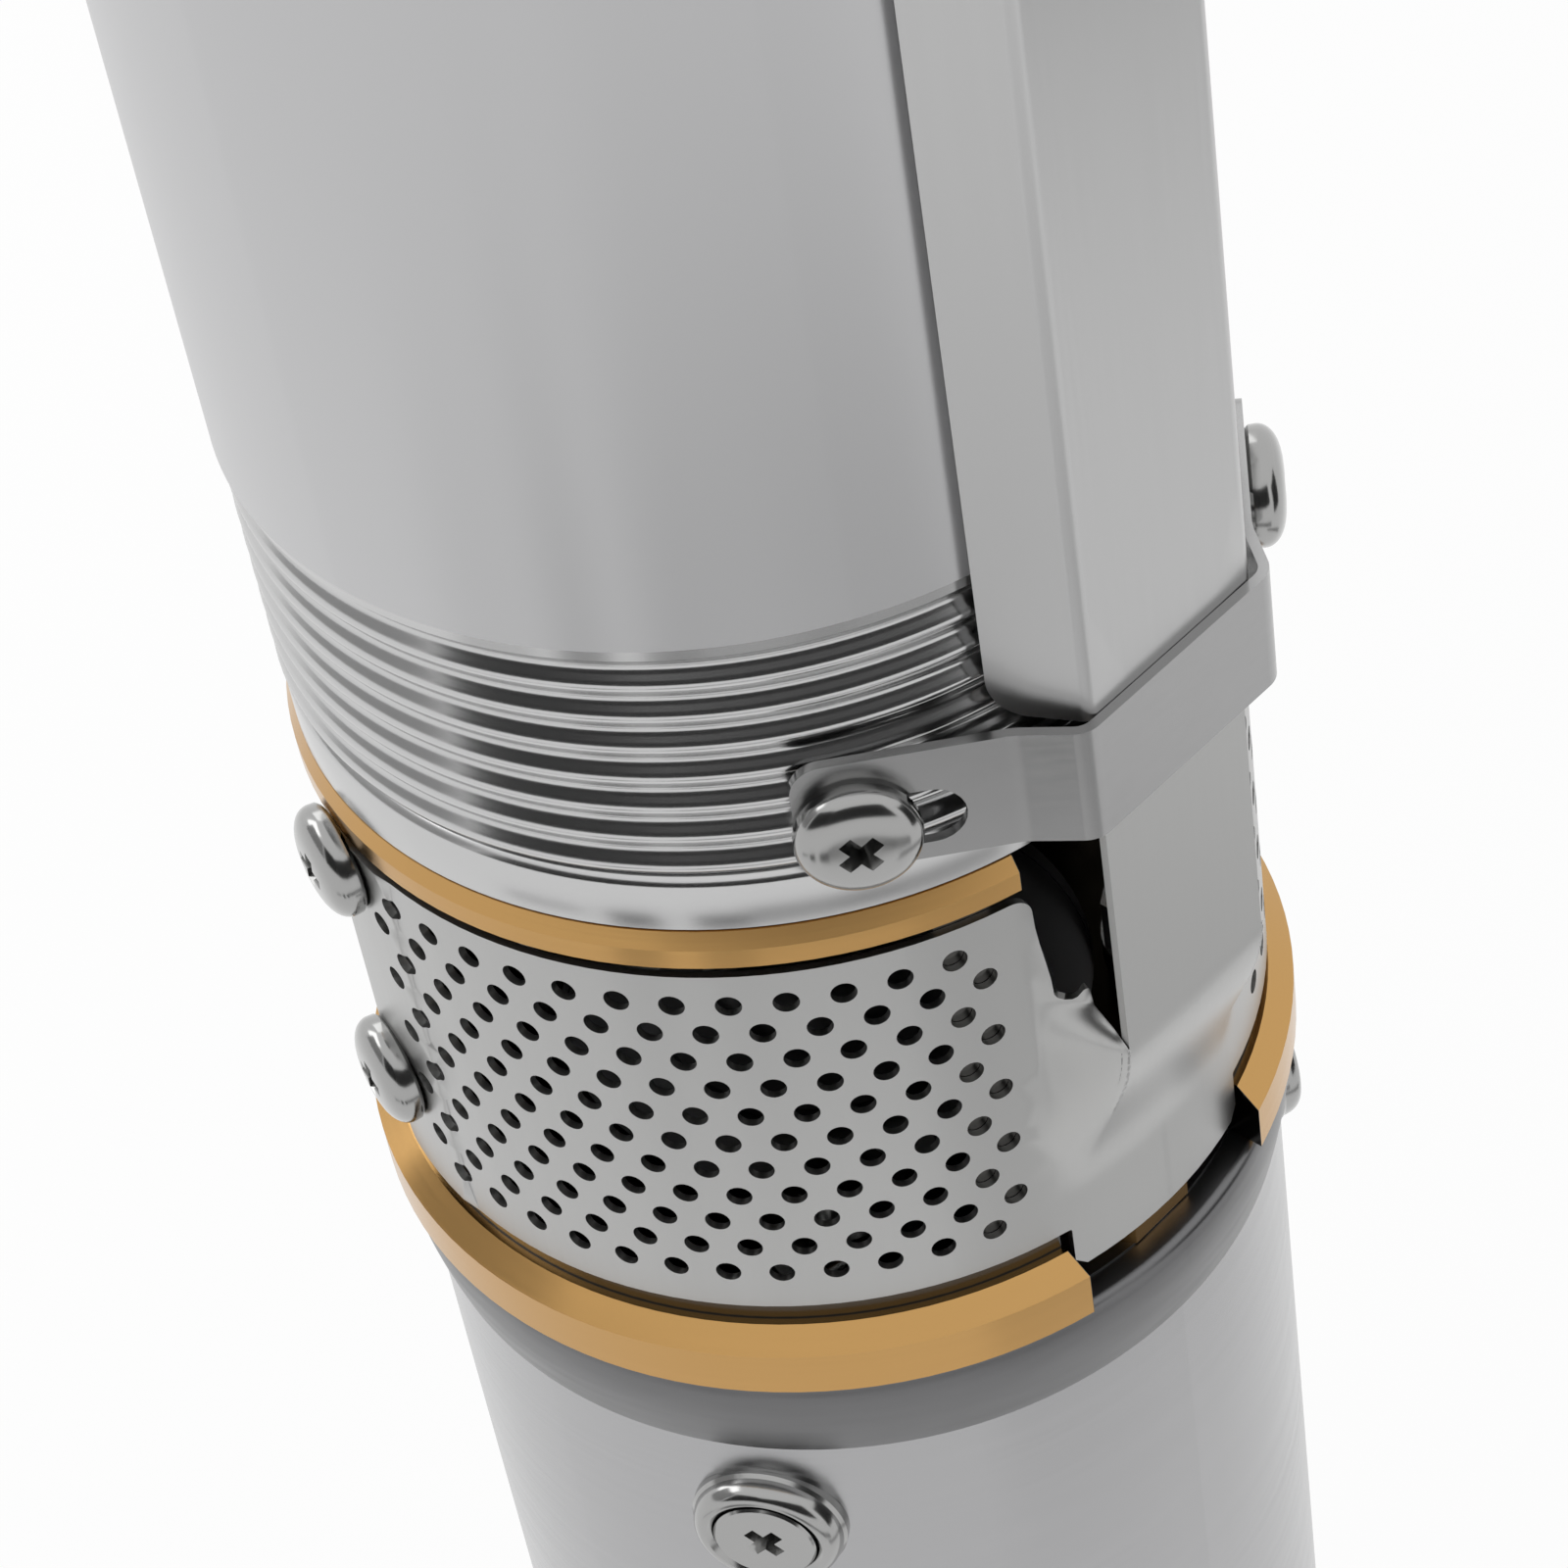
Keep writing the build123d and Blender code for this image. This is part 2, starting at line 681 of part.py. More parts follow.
# Suction housing: two notched flanges, open windows between pillars, and a threaded spigot
notch_depth = flange_radius - pilot_radius - notch_wall
with BuildPart() as suction_housing:
    turn(
        (pilot_radius, suction_low),
        (flange_radius, suction_low),
        (flange_radius, suction_low + flange_height),
        (strainer_radius, flange_top),
        (front_seat, flange_top),
        (front_seat, upper_flange_low),
        (sleeve_radius, upper_flange_low),
        (sleeve_radius, sleeve_low - upper_flange_slope),
        (sleeve_radius - upper_flange_chamfer, sleeve_low),
        (thread_fit, sleeve_low),
        (thread_fit, stack_low),
        (eye_radius + run_gap, stack_low),
        (eye_radius + run_gap, stack_low - suction_roof),
        (suction_cavity, stack_low - suction_roof - suction_cavity / 2 + eye_radius / 2),
        (suction_cavity, flange_top),
        (pilot_radius, flange_top),
    )
    for low, high, reach in (
        (flange_top, strainer_low, front_seat - seat_lip),
        (strainer_low, upper_flange_low, 2 * flange_radius),
    ):
        with BuildSketch(Plane.XY.offset(low)):
            Circle(reach)
            for angle, width in (
                (front_pillar_angle, front_pillar_width),
                (side_pillar_angle, side_pillar_width),
                (180, rear_pillar_width),
                (-side_pillar_angle, side_pillar_width),
                (-front_pillar_angle, front_pillar_width),
            ):
                add(wedge(flange_radius, angle - width / 2, angle + width / 2), mode=Mode.SUBTRACT)
        extrude(amount=high - low, mode=Mode.SUBTRACT)
    with BuildSketch(Plane.XY.offset(strainer_low)):
        Circle(front_seat + slip)
        Circle(rear_seat, mode=Mode.SUBTRACT)
        add(wedge(flange_radius, -rear_end_angle, rear_end_angle), mode=Mode.SUBTRACT)
    extrude(amount=upper_flange_low - strainer_low, mode=Mode.SUBTRACT)
    with BuildSketch(Plane.XY.offset(suction_low)):
        with Locations((flange_radius, 0)):
            SlotOverall(2 * notch_depth, 2 * notch_half_width)
    extrude(amount=sleeve_low - suction_low, mode=Mode.SUBTRACT)
    with BuildSketch(Plane.XY.offset(suction_low)):
        with Locations(*stud_places):
            Circle(stud_radius + slip)
    extrude(amount=flange_height + flange_bevel, mode=Mode.SUBTRACT)
    for side in (-1, 1):
        for level in (
            strainer_top - strainer_screw_drop,
            strainer_top - strainer_screw_drop - strainer_screw_pitch,
        ):
            with BuildSketch(facing(side * strainer_screw_angle, level, strainer_radius)):
                Circle(pan_shank_radius + slip)
            extrude(amount=-pan_shank_length, mode=Mode.SUBTRACT)
        with BuildSketch(on_tab(side, lower_strap_middle - strap_screw_drop, strap_screw_reach)):
            Circle(pan_shank_radius + slip)
        extrude(amount=-screw_hole_depth, mode=Mode.SUBTRACT)
suction_housing.part.label = "suction_housing"
export_step(suction_housing.part, "parts/suction_housing.step")

# Perforations: staggered rows of square punches with the round holes' area, which keeps faces few
top_row = strainer_top - top_row_drop
punch_radius = hole_radius * sqrt(pi / 2)
punch_seat = strainer_radius - 3


def perforate(first, columns):
    """Punches staggered holes from an angle on, in half steps round the sheet."""
    with BuildSketch(mode=Mode.PRIVATE) as hole:
        RegularPolygon(punch_radius, 4)
    punch = extrude(hole.sketch, amount=5, mode=Mode.PRIVATE)
    places = []
    for column in range(columns):
        for row in range(row_count):
            if (row + column) % 2:
                angle = first + column * hole_step / 2
                places.append(facing(angle, top_row - row * row_pitch, punch_seat).location)
    with Locations(*places):
        add(punch, mode=Mode.SUBTRACT)


def screw_holes(side):
    """Holes of the two strainer screws on one side."""
    for level in (
        strainer_top - strainer_screw_drop,
        strainer_top - strainer_screw_drop - strainer_screw_pitch,
    ):
        with BuildSketch(facing(side * strainer_screw_angle, level)) as hole:
            Circle(pan_shank_radius + slip)
        extrude(hole.sketch, amount=strainer_radius + 1, mode=Mode.SUBTRACT)


cover_low = strainer_low + cover_low_lift
cover_high = strainer_low + cover_high_lift
window_low = strainer_low + window_lift
hood_back = strainer_radius - 4
flank_face = cover_face - 3.4
slit_face = cover_face - 4.0


def hood(inset):
    """Wedge under the cable's cover, drawn in from its outer walls by an inset."""
    base = cover_base_half_width - inset
    lip = tongue_half_width - inset
    slope = (cover_face - strainer_radius + 0.5) / (cover_high - cover_low)
    with BuildPart() as shape:
        with BuildSketch(Plane.XZ) as side:
            with BuildLine():
                Polyline(
                    (hood_back, cover_low),
                    (strainer_radius - 0.5 - inset, cover_low),
                    (cover_face - inset, cover_high),
                    (cover_face - inset + slope, window_low),
                    (hood_back, window_low),
                    close=True,
                )
            make_face()
        extrude(side.sketch, amount=2 * cover_base_half_width, both=True)
        with BuildSketch(Plane.XY.offset(cover_low)) as plan:
            with BuildLine():
                Polyline(
                    (hood_back, -base),
                    (strainer_radius - 2, -base),
                    (flank_face, -lip),
                    (cover_face + 1, -lip),
                    (cover_face + 1, lip),
                    (flank_face, lip),
                    (strainer_radius - 2, base),
                    (hood_back, base),
                    close=True,
                )
            make_face()
        extrude(plan.sketch, amount=window_low - cover_low, mode=Mode.INTERSECT)
        with BuildSketch(Plane.XY.offset(cover_low)) as back:
            Circle(strainer_radius - sheet - (1 if inset else 0))
        extrude(back.sketch, amount=window_low - cover_low, mode=Mode.SUBTRACT)
    return shape.part


# Front half of the strainer, drawn out into a hood and a flat tongue over the cable
with BuildPart() as strainer_front:
    ring(strainer_radius, strainer_radius - sheet, strainer_low, strainer_height)
    with BuildSketch(Plane.XY.offset(strainer_low)):
        add(wedge(strainer_radius, front_end_angle, 360 - front_end_angle))
    extrude(amount=strainer_height, mode=Mode.SUBTRACT)
    with BuildSketch(Plane.XY.offset(strainer_low - apron_drop)) as apron:
        Circle(strainer_radius)
        Circle(strainer_radius - sheet, mode=Mode.SUBTRACT)
        with Locations((strainer_radius, 0)):
            Rectangle(strainer_radius, 2 * (apron_half_width - run_gap), mode=Mode.INTERSECT)
    extrude(apron.sketch, amount=apron_drop)
    perforate(panel_start, panel_columns)
    perforate(-panel_start - (panel_columns - 1) * hole_step / 2, panel_columns)
    for side in (-1, 1):
        screw_holes(side)
    with BuildSketch(Plane.YZ.offset(strainer_radius - 5)) as window:
        with BuildLine():
            Polyline(
                (-window_low_half_width, window_low),
                (window_low_half_width, window_low),
                (window_high_half_width, strainer_top + 1),
                (-window_high_half_width, strainer_top + 1),
                close=True,
            )
        make_face()
        fillet(window.vertices().group_by(Axis.Y)[0], radius=2)
    extrude(window.sketch, amount=10, mode=Mode.SUBTRACT)
    add(hood(0))
    add(hood(sheet), mode=Mode.SUBTRACT)
    with BuildSketch(Plane.XY.offset(cover_high)) as slit:
        with Locations((slit_face + strainer_radius / 2, 0)):
            Rectangle(strainer_radius, 2 * cover_base_half_width)
    extrude(slit.sketch, amount=window_low - cover_high, mode=Mode.SUBTRACT)
    with BuildSketch(Plane.XY.offset(cover_high)) as tongue:
        with Locations((cover_face - sheet / 2, 0)):
            Rectangle(sheet, 2 * tongue_half_width)
    extrude(tongue.sketch, amount=tongue_length)
strainer_front.part.label = "strainer_front"
export_step(strainer_front.part, "parts/strainer_front.step")

# Rear half of the strainer, its ends under the front half's
with BuildPart() as strainer_rear:
    ring(rear_radius, rear_radius - sheet, strainer_low, strainer_height)
    with BuildSketch(Plane.XY.offset(strainer_low)):
        Circle(rear_radius + 1)
        add(wedge(rear_radius, rear_end_angle, 360 - rear_end_angle), mode=Mode.SUBTRACT)
    extrude(amount=strainer_height, mode=Mode.SUBTRACT)
    for side in (-1, 1):
        screw_holes(side)
strainer_rear.part.label = "strainer_rear"
export_step(strainer_rear.part, "parts/strainer_rear.step")


def pan_screws(places, length):
    """Pan head screws standing on planes that face outward."""
    for place in places:
        local_turn(
            place,
            (0, -length),
            (pan_shank_radius, -length),
            (pan_shank_radius, 0),
            (pan_head_radius, 0),
            (pan_head_radius, pan_head_height * 0.4),
            (pan_head_radius * 0.6, pan_head_height),
            (0, pan_head_height),
        )


# Strainer screws, two on each side
with BuildPart() as strainer_screws:
    pan_screws(
        [
            facing(side * strainer_screw_angle, level, strainer_radius + screw_stand_off)
            for side in (-1, 1)
            for level in (
                strainer_top - strainer_screw_drop,
                strainer_top - strainer_screw_drop - strainer_screw_pitch,
            )
        ],
        pan_shank_length - 1,
    )
strainer_screws.part.label = "strainer_screws"
export_step(strainer_screws.part, "parts/strainer_screws.step")

# Pump sleeve: stainless tube with a rolled round thread at both ends
rib_low = sleeve_low + band_height
rib_high = rib_low + rib_count * rib_pitch
mirror_height = sleeve_low + sleeve_top
taper_low = rib_high + rib_pitch / 4


def rib_flanks(start):
    """Rolled ribs as straight flanks, from a level up the wall: valley, crest, valley and so on."""
    points = []
    for rib in range(rib_count):
        points.append((rib_valley, start + rib * rib_pitch + rib_pitch / 4))
        points.append((rib_crest, start + rib * rib_pitch + 3 * rib_pitch / 4))
    return points


with BuildPart() as pump_sleeve:
    with BuildSketch(Plane.XZ) as wall:
        with BuildLine():
            Polyline(
                (thread_bore, sleeve_low),
                (band_radius, sleeve_low),
                (band_radius, rib_low - 0.5),
                *rib_flanks(rib_low),
                (rib_crest, taper_low),
                (sleeve_radius, taper_low + sleeve_taper),
                (sleeve_radius, mirror_height - taper_low - sleeve_taper),
                (rib_crest, mirror_height - taper_low),
                *[(reach, mirror_height - level) for reach, level in reversed(rib_flanks(rib_low))],
                (band_radius, mirror_height - rib_low + 0.5),
                (band_radius, sleeve_top),
                (thread_bore, sleeve_top),
                (thread_bore, sleeve_top - thread_zone),
                (sleeve_bore, sleeve_top - thread_zone - sleeve_wall),
                (sleeve_bore, sleeve_low + thread_zone + sleeve_wall),
                (thread_bore, sleeve_low + thread_zone),
                close=True,
            )
        make_face()
    revolve(axis=Axis.Z)
    for level in (lower_strap_middle, upper_strap_middle):
        for side in (-1, 1):
            with BuildSketch(on_tab(side, level - strap_screw_drop, strap_screw_reach)):
                Circle(pan_shank_radius + slip)
            extrude(amount=-screw_hole_depth, mode=Mode.SUBTRACT)
pump_sleeve.part.label = "pump_sleeve"
export_step(pump_sleeve.part, "parts/pump_sleeve.step")


def curved_blade(inner, outer, turn_angle, thickness):
    """Plan of one blade: it leans back from the hub to the rim."""
    with BuildSketch(mode=Mode.PRIVATE) as blade:
        with BuildLine():
            half = thickness / 2
            start = Vector(*around(inner, 0))
            stop = Vector(*around(outer, -turn_angle))
            middle = Vector(*around((inner + outer) / 2, -turn_angle * 0.36))
            across = (stop - start).normalized().rotate(Axis.Z, 90) * half
            Polyline(
                start + across,
                middle + across,
                stop + across,
                stop - across,
                middle - across,
                start - across,
                close=True,
            )
        make_face()
    return blade.sketch


impeller_blade = curved_blade(hub_radius - 0.5, impeller_radius - 0.5, blade_turn, blade_thickness)
vane_inner = hub_radius + run_gap + 4
bowl_bore = stack_radius - bowl_wall
diffuser_vane = curved_blade(vane_inner, bowl_bore - 0.6, -vane_turn, blade_thickness)
hub_low = stack_low + run_gap
running_low = stack_low + bowl_floor + 1.2
running_high = running_low + 2 * shroud + passage
plate_low = stack_low + stage_pitch - vane_height - vane_plate

# Lowest stage: bowl, impeller and diffuser
with BuildPart() as stage_bowl:
    turn(
        (eye_radius + run_gap, stack_low),
        (stack_radius, stack_low),
        (stack_radius, stack_low + stage_pitch),
        (bowl_bore, stack_low + stage_pitch),
        (bowl_bore, plate_low),
        (bowl_bore - 1, plate_low),
        (bowl_bore - 1, stack_low + bowl_floor),
        (eye_radius + run_gap, stack_low + bowl_floor),
    )

with BuildPart() as impeller:
    turn(
        (eye_radius - neck_wall, hub_low),
        (eye_radius, hub_low),
        (eye_radius, running_low),
        (impeller_radius, running_low),
        (impeller_radius, running_low + shroud),
        (eye_radius - neck_wall, running_low + shroud),
    )
    ring(impeller_radius, hub_radius, running_high - shroud, shroud)
    with BuildSketch(Plane.XY.offset(hub_low)):
        Circle(hub_radius)
        RegularPolygon(hex_across_flats / 2 + slip, 6, major_radius=False, mode=Mode.SUBTRACT)
    extrude(amount=stage_pitch)
    with BuildSketch(Plane.XY.offset(running_low + shroud / 2)) as blades:
        with PolarLocations(0, blade_count):
            add(impeller_blade)
    extrude(blades.sketch, amount=passage + shroud)

with BuildPart() as diffuser:
    ring(impeller_radius, hub_radius + run_gap, plate_low, vane_plate)
    ring(bowl_bore - slip, bowl_bore - 1.5, plate_low, vane_plate)
    with BuildSketch(Plane.XY.offset(plate_low)) as vanes:
        with PolarLocations(0, vane_count):
            add(diffuser_vane)
    extrude(vanes.sketch, amount=vane_plate + vane_height)

# The stages are alike, so each further one is the lowest, a pitch higher
for stage in range(stage_count):
    lift = Location((0, 0, stage * stage_pitch))
    for piece, name in ((stage_bowl, "stage_bowl"), (impeller, "impeller"), (diffuser, "diffuser")):
        copy = piece.part.moved(lift)
        copy.label = name + "_" + str(stage + 1)
        export_step(copy, "parts/" + copy.label + ".step")

# Collar on the shaft that carries the lowest impeller
with BuildPart() as shaft_collar:
    with BuildSketch(Plane.XY.offset(hub_low - collar_height)):
        Circle(hub_radius)
        RegularPolygon(hex_across_flats / 2 + slip, 6, major_radius=False, mode=Mode.SUBTRACT)
    extrude(amount=collar_height)
shaft_collar.part.label = "shaft_collar"
export_step(shaft_collar.part, "parts/shaft_collar.step")

# Top bracket: outer ring, four arms and a hub with the top bush
sleeve_hub_radius = hub_radius
bush_outer = sleeve_hub_radius + film / 2 + top_bush_wall
bracket_hub = bush_outer + 4
with BuildPart() as top_bracket:
    ring(stack_radius, stack_radius - bracket_ring_wall, stack_top, top_bracket_height)
    ring(bracket_hub, bush_outer + slip, stack_top + 4, top_bush_height)
    with BuildSketch(Plane.XY.offset(stack_top + 4)):
        with PolarLocations(0, 2):
            Rectangle(2 * stack_radius - bracket_ring_wall, bracket_arm)
            Rectangle(bracket_arm, 2 * stack_radius - bracket_ring_wall)
        Circle(bracket_hub - 1, mode=Mode.SUBTRACT)
    extrude(amount=top_bush_height / 2)
top_bracket.part.label = "top_bracket"
export_step(top_bracket.part, "parts/top_bracket.step")

with BuildPart() as top_bush:
    ring(bush_outer, sleeve_hub_radius + film / 2, stack_top + 4, top_bush_height)
top_bush.part.label = "top_bush"
export_step(top_bush.part, "parts/top_bush.step")

# Round sleeve on the shaft inside the top bush, and the nut that clamps the stack
top_sleeve_low = stack_top + run_gap
top_sleeve_top = stack_top + 4 + top_bush_height
with BuildPart() as top_sleeve:
    with BuildSketch(Plane.XY.offset(top_sleeve_low)):
        Circle(sleeve_hub_radius)
        RegularPolygon(hex_across_flats / 2 + slip, 6, major_radius=False, mode=Mode.SUBTRACT)
    extrude(amount=top_sleeve_top - top_sleeve_low)
top_sleeve.part.label = "top_sleeve"
export_step(top_sleeve.part, "parts/top_sleeve.step")

shaft_end_radius = hex_across_flats / 2 - 1
with BuildPart() as shaft_nut:
    with BuildSketch(Plane.XY.offset(top_sleeve_top)):
        RegularPolygon(shaft_nut_across_flats / 2, 6, major_radius=False)
        Circle(shaft_end_radius + slip, mode=Mode.SUBTRACT)
    extrude(amount=shaft_nut_height)
shaft_nut.part.label = "shaft_nut"
export_step(shaft_nut.part, "parts/shaft_nut.step")

with BuildPart() as pump_shaft:
    with BuildSketch(Plane.XY.offset(coupling_middle + coupling_gap / 2)):
        RegularPolygon(hex_across_flats / 2, 6, major_radius=False)
    extrude(amount=top_sleeve_top - coupling_middle - coupling_gap / 2)
    with BuildSketch(Plane.XY.offset(top_sleeve_top)):
        Circle(shaft_end_radius)
    extrude(amount=shaft_nut_height + 2)
pump_shaft.part.label = "pump_shaft"
export_step(pump_shaft.part, "parts/pump_shaft.step")

# Outlet head: cast brass, threaded into the sleeve, with a valve chamber and a female pipe thread
chamber_radius = thread_fit - valve_chamber_wall
seat_low = bracket_end + shaft_nut_height
seat_top = seat_low + valve_seat_height
neck_radius = outlet_radius + outlet_wall
seal_low = seat_top + film
disc_base = seal_low + valve_seal_height
spring_low = disc_base + valve_disc_height
guide_low = spring_low + valve_lift + valve_spring_solid
guide_top = guide_low + 10
ear_level = outlet_low + ear_hole_height
with BuildPart() as outlet_head:
    turn(
        (chamber_radius + 4, bracket_end),
        (thread_fit, bracket_end),
        (thread_fit, sleeve_top),
        (sleeve_radius - upper_flange_chamfer, sleeve_top),
        (sleeve_radius, sleeve_top + upper_flange_slope),
        (sleeve_radius, head_flange_top),
        (sleeve_radius - 2, head_flange_top + 2),
        (neck_radius + 2, outlet_low + neck_radius / 3),
        (neck_radius, outlet_low + neck_radius / 2),
        (neck_radius, outlet_top),
        (outlet_radius + 1, outlet_top),
        (outlet_radius, outlet_top - 1),
        (outlet_radius, outlet_top - outlet_thread_length),
        (outlet_radius - 2, outlet_top - outlet_thread_length - 2),
        (outlet_radius - 2, outlet_low + outlet_radius / 3),
        (chamber_radius, outlet_low - 3),
        (chamber_radius, seat_top),
        (chamber_radius + 4, seat_top),
    )
    with BuildSketch(Plane.XY.offset(outlet_top - outlet_hex_height)):
        RegularPolygon(neck_radius + 0.5, 8, major_radius=False)
        Circle(outlet_radius + 3, mode=Mode.SUBTRACT)
    extrude(amount=outlet_hex_height - 2)
    with BuildSketch(Plane.XY.offset(guide_low)):
        Circle(guide_hub_radius)
        with PolarLocations((chamber_radius + guide_hub_radius) / 2, 3):
            Rectangle(chamber_radius - guide_hub_radius + 2, guide_arm)
    extrude(amount=guide_top - guide_low)
    bore(valve_stem_radius + run_gap, guide_low, guide_top - guide_low)
    for side in (-1, 1):
        with BuildSketch(Plane.YZ.offset(-ear_thickness / 2)):
            web_middle = side * (ear_distance + ear_radius - neck_radius / 2)
            with Locations((web_middle, outlet_low + ear_hole_height / 2)):
                Rectangle(neck_radius, ear_hole_height)
            with Locations((side * ear_distance, ear_level)):
                Circle(ear_radius)
        extrude(amount=ear_thickness)
        with BuildSketch(Plane.YZ.offset(-ear_thickness)):
            with Locations((side * ear_distance, ear_level)):
                Circle(ear_hole_radius)
        extrude(amount=2 * ear_thickness, mode=Mode.SUBTRACT)
        with BuildSketch(on_tab(side, upper_strap_middle - strap_screw_drop, strap_screw_reach)):
            Circle(pan_shank_radius + slip)
        extrude(amount=-screw_hole_depth, mode=Mode.SUBTRACT)
outlet_head.part.label = "outlet_head"
export_step(outlet_head.part, "parts/outlet_head.step")

# Check valve: fixed seat, and a poppet with a rubber seal that lifts off it
with BuildPart() as valve_seat:
    turn(
        (valve_seat_bore, seat_low),
        (chamber_radius + 4 - slip, seat_low),
        (chamber_radius + 4 - slip, seat_top),
        (valve_seat_bore + 1, seat_top),
        (valve_seat_bore, seat_top - 1),
    )
valve_seat.part.label = "valve_seat"
export_step(valve_seat.part, "parts/valve_seat.step")

valve_radius = valve_seat_bore + valve_overlap
with BuildPart() as valve_seal:
    ring(valve_radius, valve_seat_bore - 4, seal_low, valve_seal_height)
valve_seal.part.label = "valve_seal"
export_step(valve_seal.part, "parts/valve_seal.step")

with BuildPart() as valve_poppet:
    turn(
        (0, seal_low - 6),
        (8, seal_low - 4),
        (valve_seat_bore - 4 - slip, seal_low),
        (valve_seat_bore - 4 - slip, disc_base),
        (valve_radius, disc_base),
        (valve_radius, disc_base + valve_disc_height / 2),
        (guide_hub_radius, spring_low),
        (valve_stem_radius, spring_low),
        (valve_stem_radius, disc_base + valve_stem_length),
        (0, disc_base + valve_stem_length),
    )
valve_poppet.part.label = "valve_poppet"
export_step(valve_poppet.part, "parts/valve_poppet.step")

# Valve spring between the poppet's shoulder and the guide's hub
spring_height = guide_low - spring_low - spring_wire - 2 * slip
with BuildPart() as valve_spring:
    with BuildLine() as coil:
        Helix(
            pitch=spring_height / spring_turns,
            height=spring_height,
            radius=spring_radius,
            center=(0, 0, spring_low + slip + spring_wire / 2),
        )
    with BuildSketch(Plane(origin=coil.line @ 0, z_dir=coil.line % 0)):
        RegularPolygon(spring_wire / 2, 4)
    sweep(is_frenet=True)
valve_spring.part.label = "valve_spring"
export_step(valve_spring.part, "parts/valve_spring.step")

# Cable guard: pressed channel from the lower strap up to the outlet head
strap_low = sleeve_low + strap_rise - strap_height / 2
strap_high = strap_low + strap_height
guard_front = cover_face + guard_thickness
guard_low = strap_high - 0.5
guard_top = sleeve_top + guard_overhang
guard_clear = sleeve_radius + run_gap
guard_inner = guard_base_half_width - guard_thickness
guard_foot = sqrt(guard_clear**2 - guard_inner**2) + guard_thickness / 2
with BuildPart() as cable_guard:
    with BuildSketch(Plane.XY.offset(guard_low)) as channel:
        with BuildLine():
            path = FilletPolyline(
                (guard_foot, -guard_base_half_width),
                (guard_front, -guard_half_width),
                (guard_front, guard_half_width),
                (guard_foot, guard_base_half_width),
                radius=guard_corner,
            )
            offset(path, amount=guard_thickness, side=Side.LEFT)
        make_face()
    extrude(amount=guard_top - guard_low)
    with BuildSketch(Plane.XY.offset(guard_low - guard_tuck)):
        with Locations((guard_front - guard_thickness / 2, 0)):
            Rectangle(guard_thickness, 2 * (guard_half_width - guard_corner))
    extrude(amount=guard_tuck)
cable_guard.part.label = "cable_guard"
export_step(cable_guard.part, "parts/cable_guard.step")


def strap(middle):
    """Strap over the guard: a flat bridge, two bent flanks and two slotted tabs."""
    inner_x, inner_y = around(tab_face - strap_thickness, tab_angle)
    end_shift_x, end_shift_y = around(strap_tab_length - strap_screw_reach, tab_angle + 90)
    end_x = inner_x + end_shift_x
    end_y = inner_y + end_shift_y
    bridge_inner = guard_front + slip
    out_x, out_y = around(strap_thickness, tab_angle)
    bend_x = strap_bend_face - out_x
    bend_y = strap_bend_half_width - out_y
    with BuildSketch(Plane.XY.offset(middle - strap_height / 2)) as band:
        with BuildLine():
            path = FilletPolyline(
                (end_x, -end_y),
                (bend_x, -bend_y),
                (bridge_inner, -strap_half_width + strap_thickness),
                (bridge_inner, strap_half_width - strap_thickness),
                (bend_x, bend_y),
                (end_x, end_y),
                radius=strap_bend_radius,
            )
            offset(path, amount=strap_thickness, side=Side.RIGHT)
        make_face()
    extrude(band.sketch, amount=strap_height)
    for side in (-1, 1):
        with BuildSketch(on_tab(side, middle - strap_screw_drop, strap_screw_reach, -3)) as slot:
            with Locations((-side * strap_slot_reach / 2, 0)):
                SlotCenterToCenter(strap_slot_reach, strap_slot_width)
        extrude(slot.sketch, amount=6, mode=Mode.SUBTRACT)


with BuildPart() as guard_strap_lower:
    strap(lower_strap_middle)
guard_strap_lower.part.label = "guard_strap_lower"
export_step(guard_strap_lower.part, "parts/guard_strap_lower.step")

with BuildPart() as guard_strap_upper:
    strap(upper_strap_middle)
guard_strap_upper.part.label = "guard_strap_upper"
export_step(guard_strap_upper.part, "parts/guard_strap_upper.step")

with BuildPart() as strap_screws:
    pan_screws(
        [
            on_tab(side, level - strap_screw_drop, strap_screw_reach)
            for side in (-1, 1)
            for level in (lower_strap_middle, upper_strap_middle)
        ],
        screw_hole_depth - 1,
    )
strap_screws.part.label = "strap_screws"
export_step(strap_screws.part, "parts/strap_screws.step")
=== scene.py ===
"""Borehole submersible pump: its sheets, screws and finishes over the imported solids.

Metres. +Z is up and is the shaft's axis, the cable runs up the +X side, and the base stands on z = 0.
"""

import json
from math import acos, atan2, cos, hypot, pi, radians, sin, sqrt, tan

import bmesh
import bpy
import numpy as np
from bpy.props import FloatProperty, FloatVectorProperty, IntProperty, PointerProperty
from bpy.types import Operator, Panel, PropertyGroup
from mathutils import Matrix, Vector
from mathutils.geometry import delaunay_2d_cdt

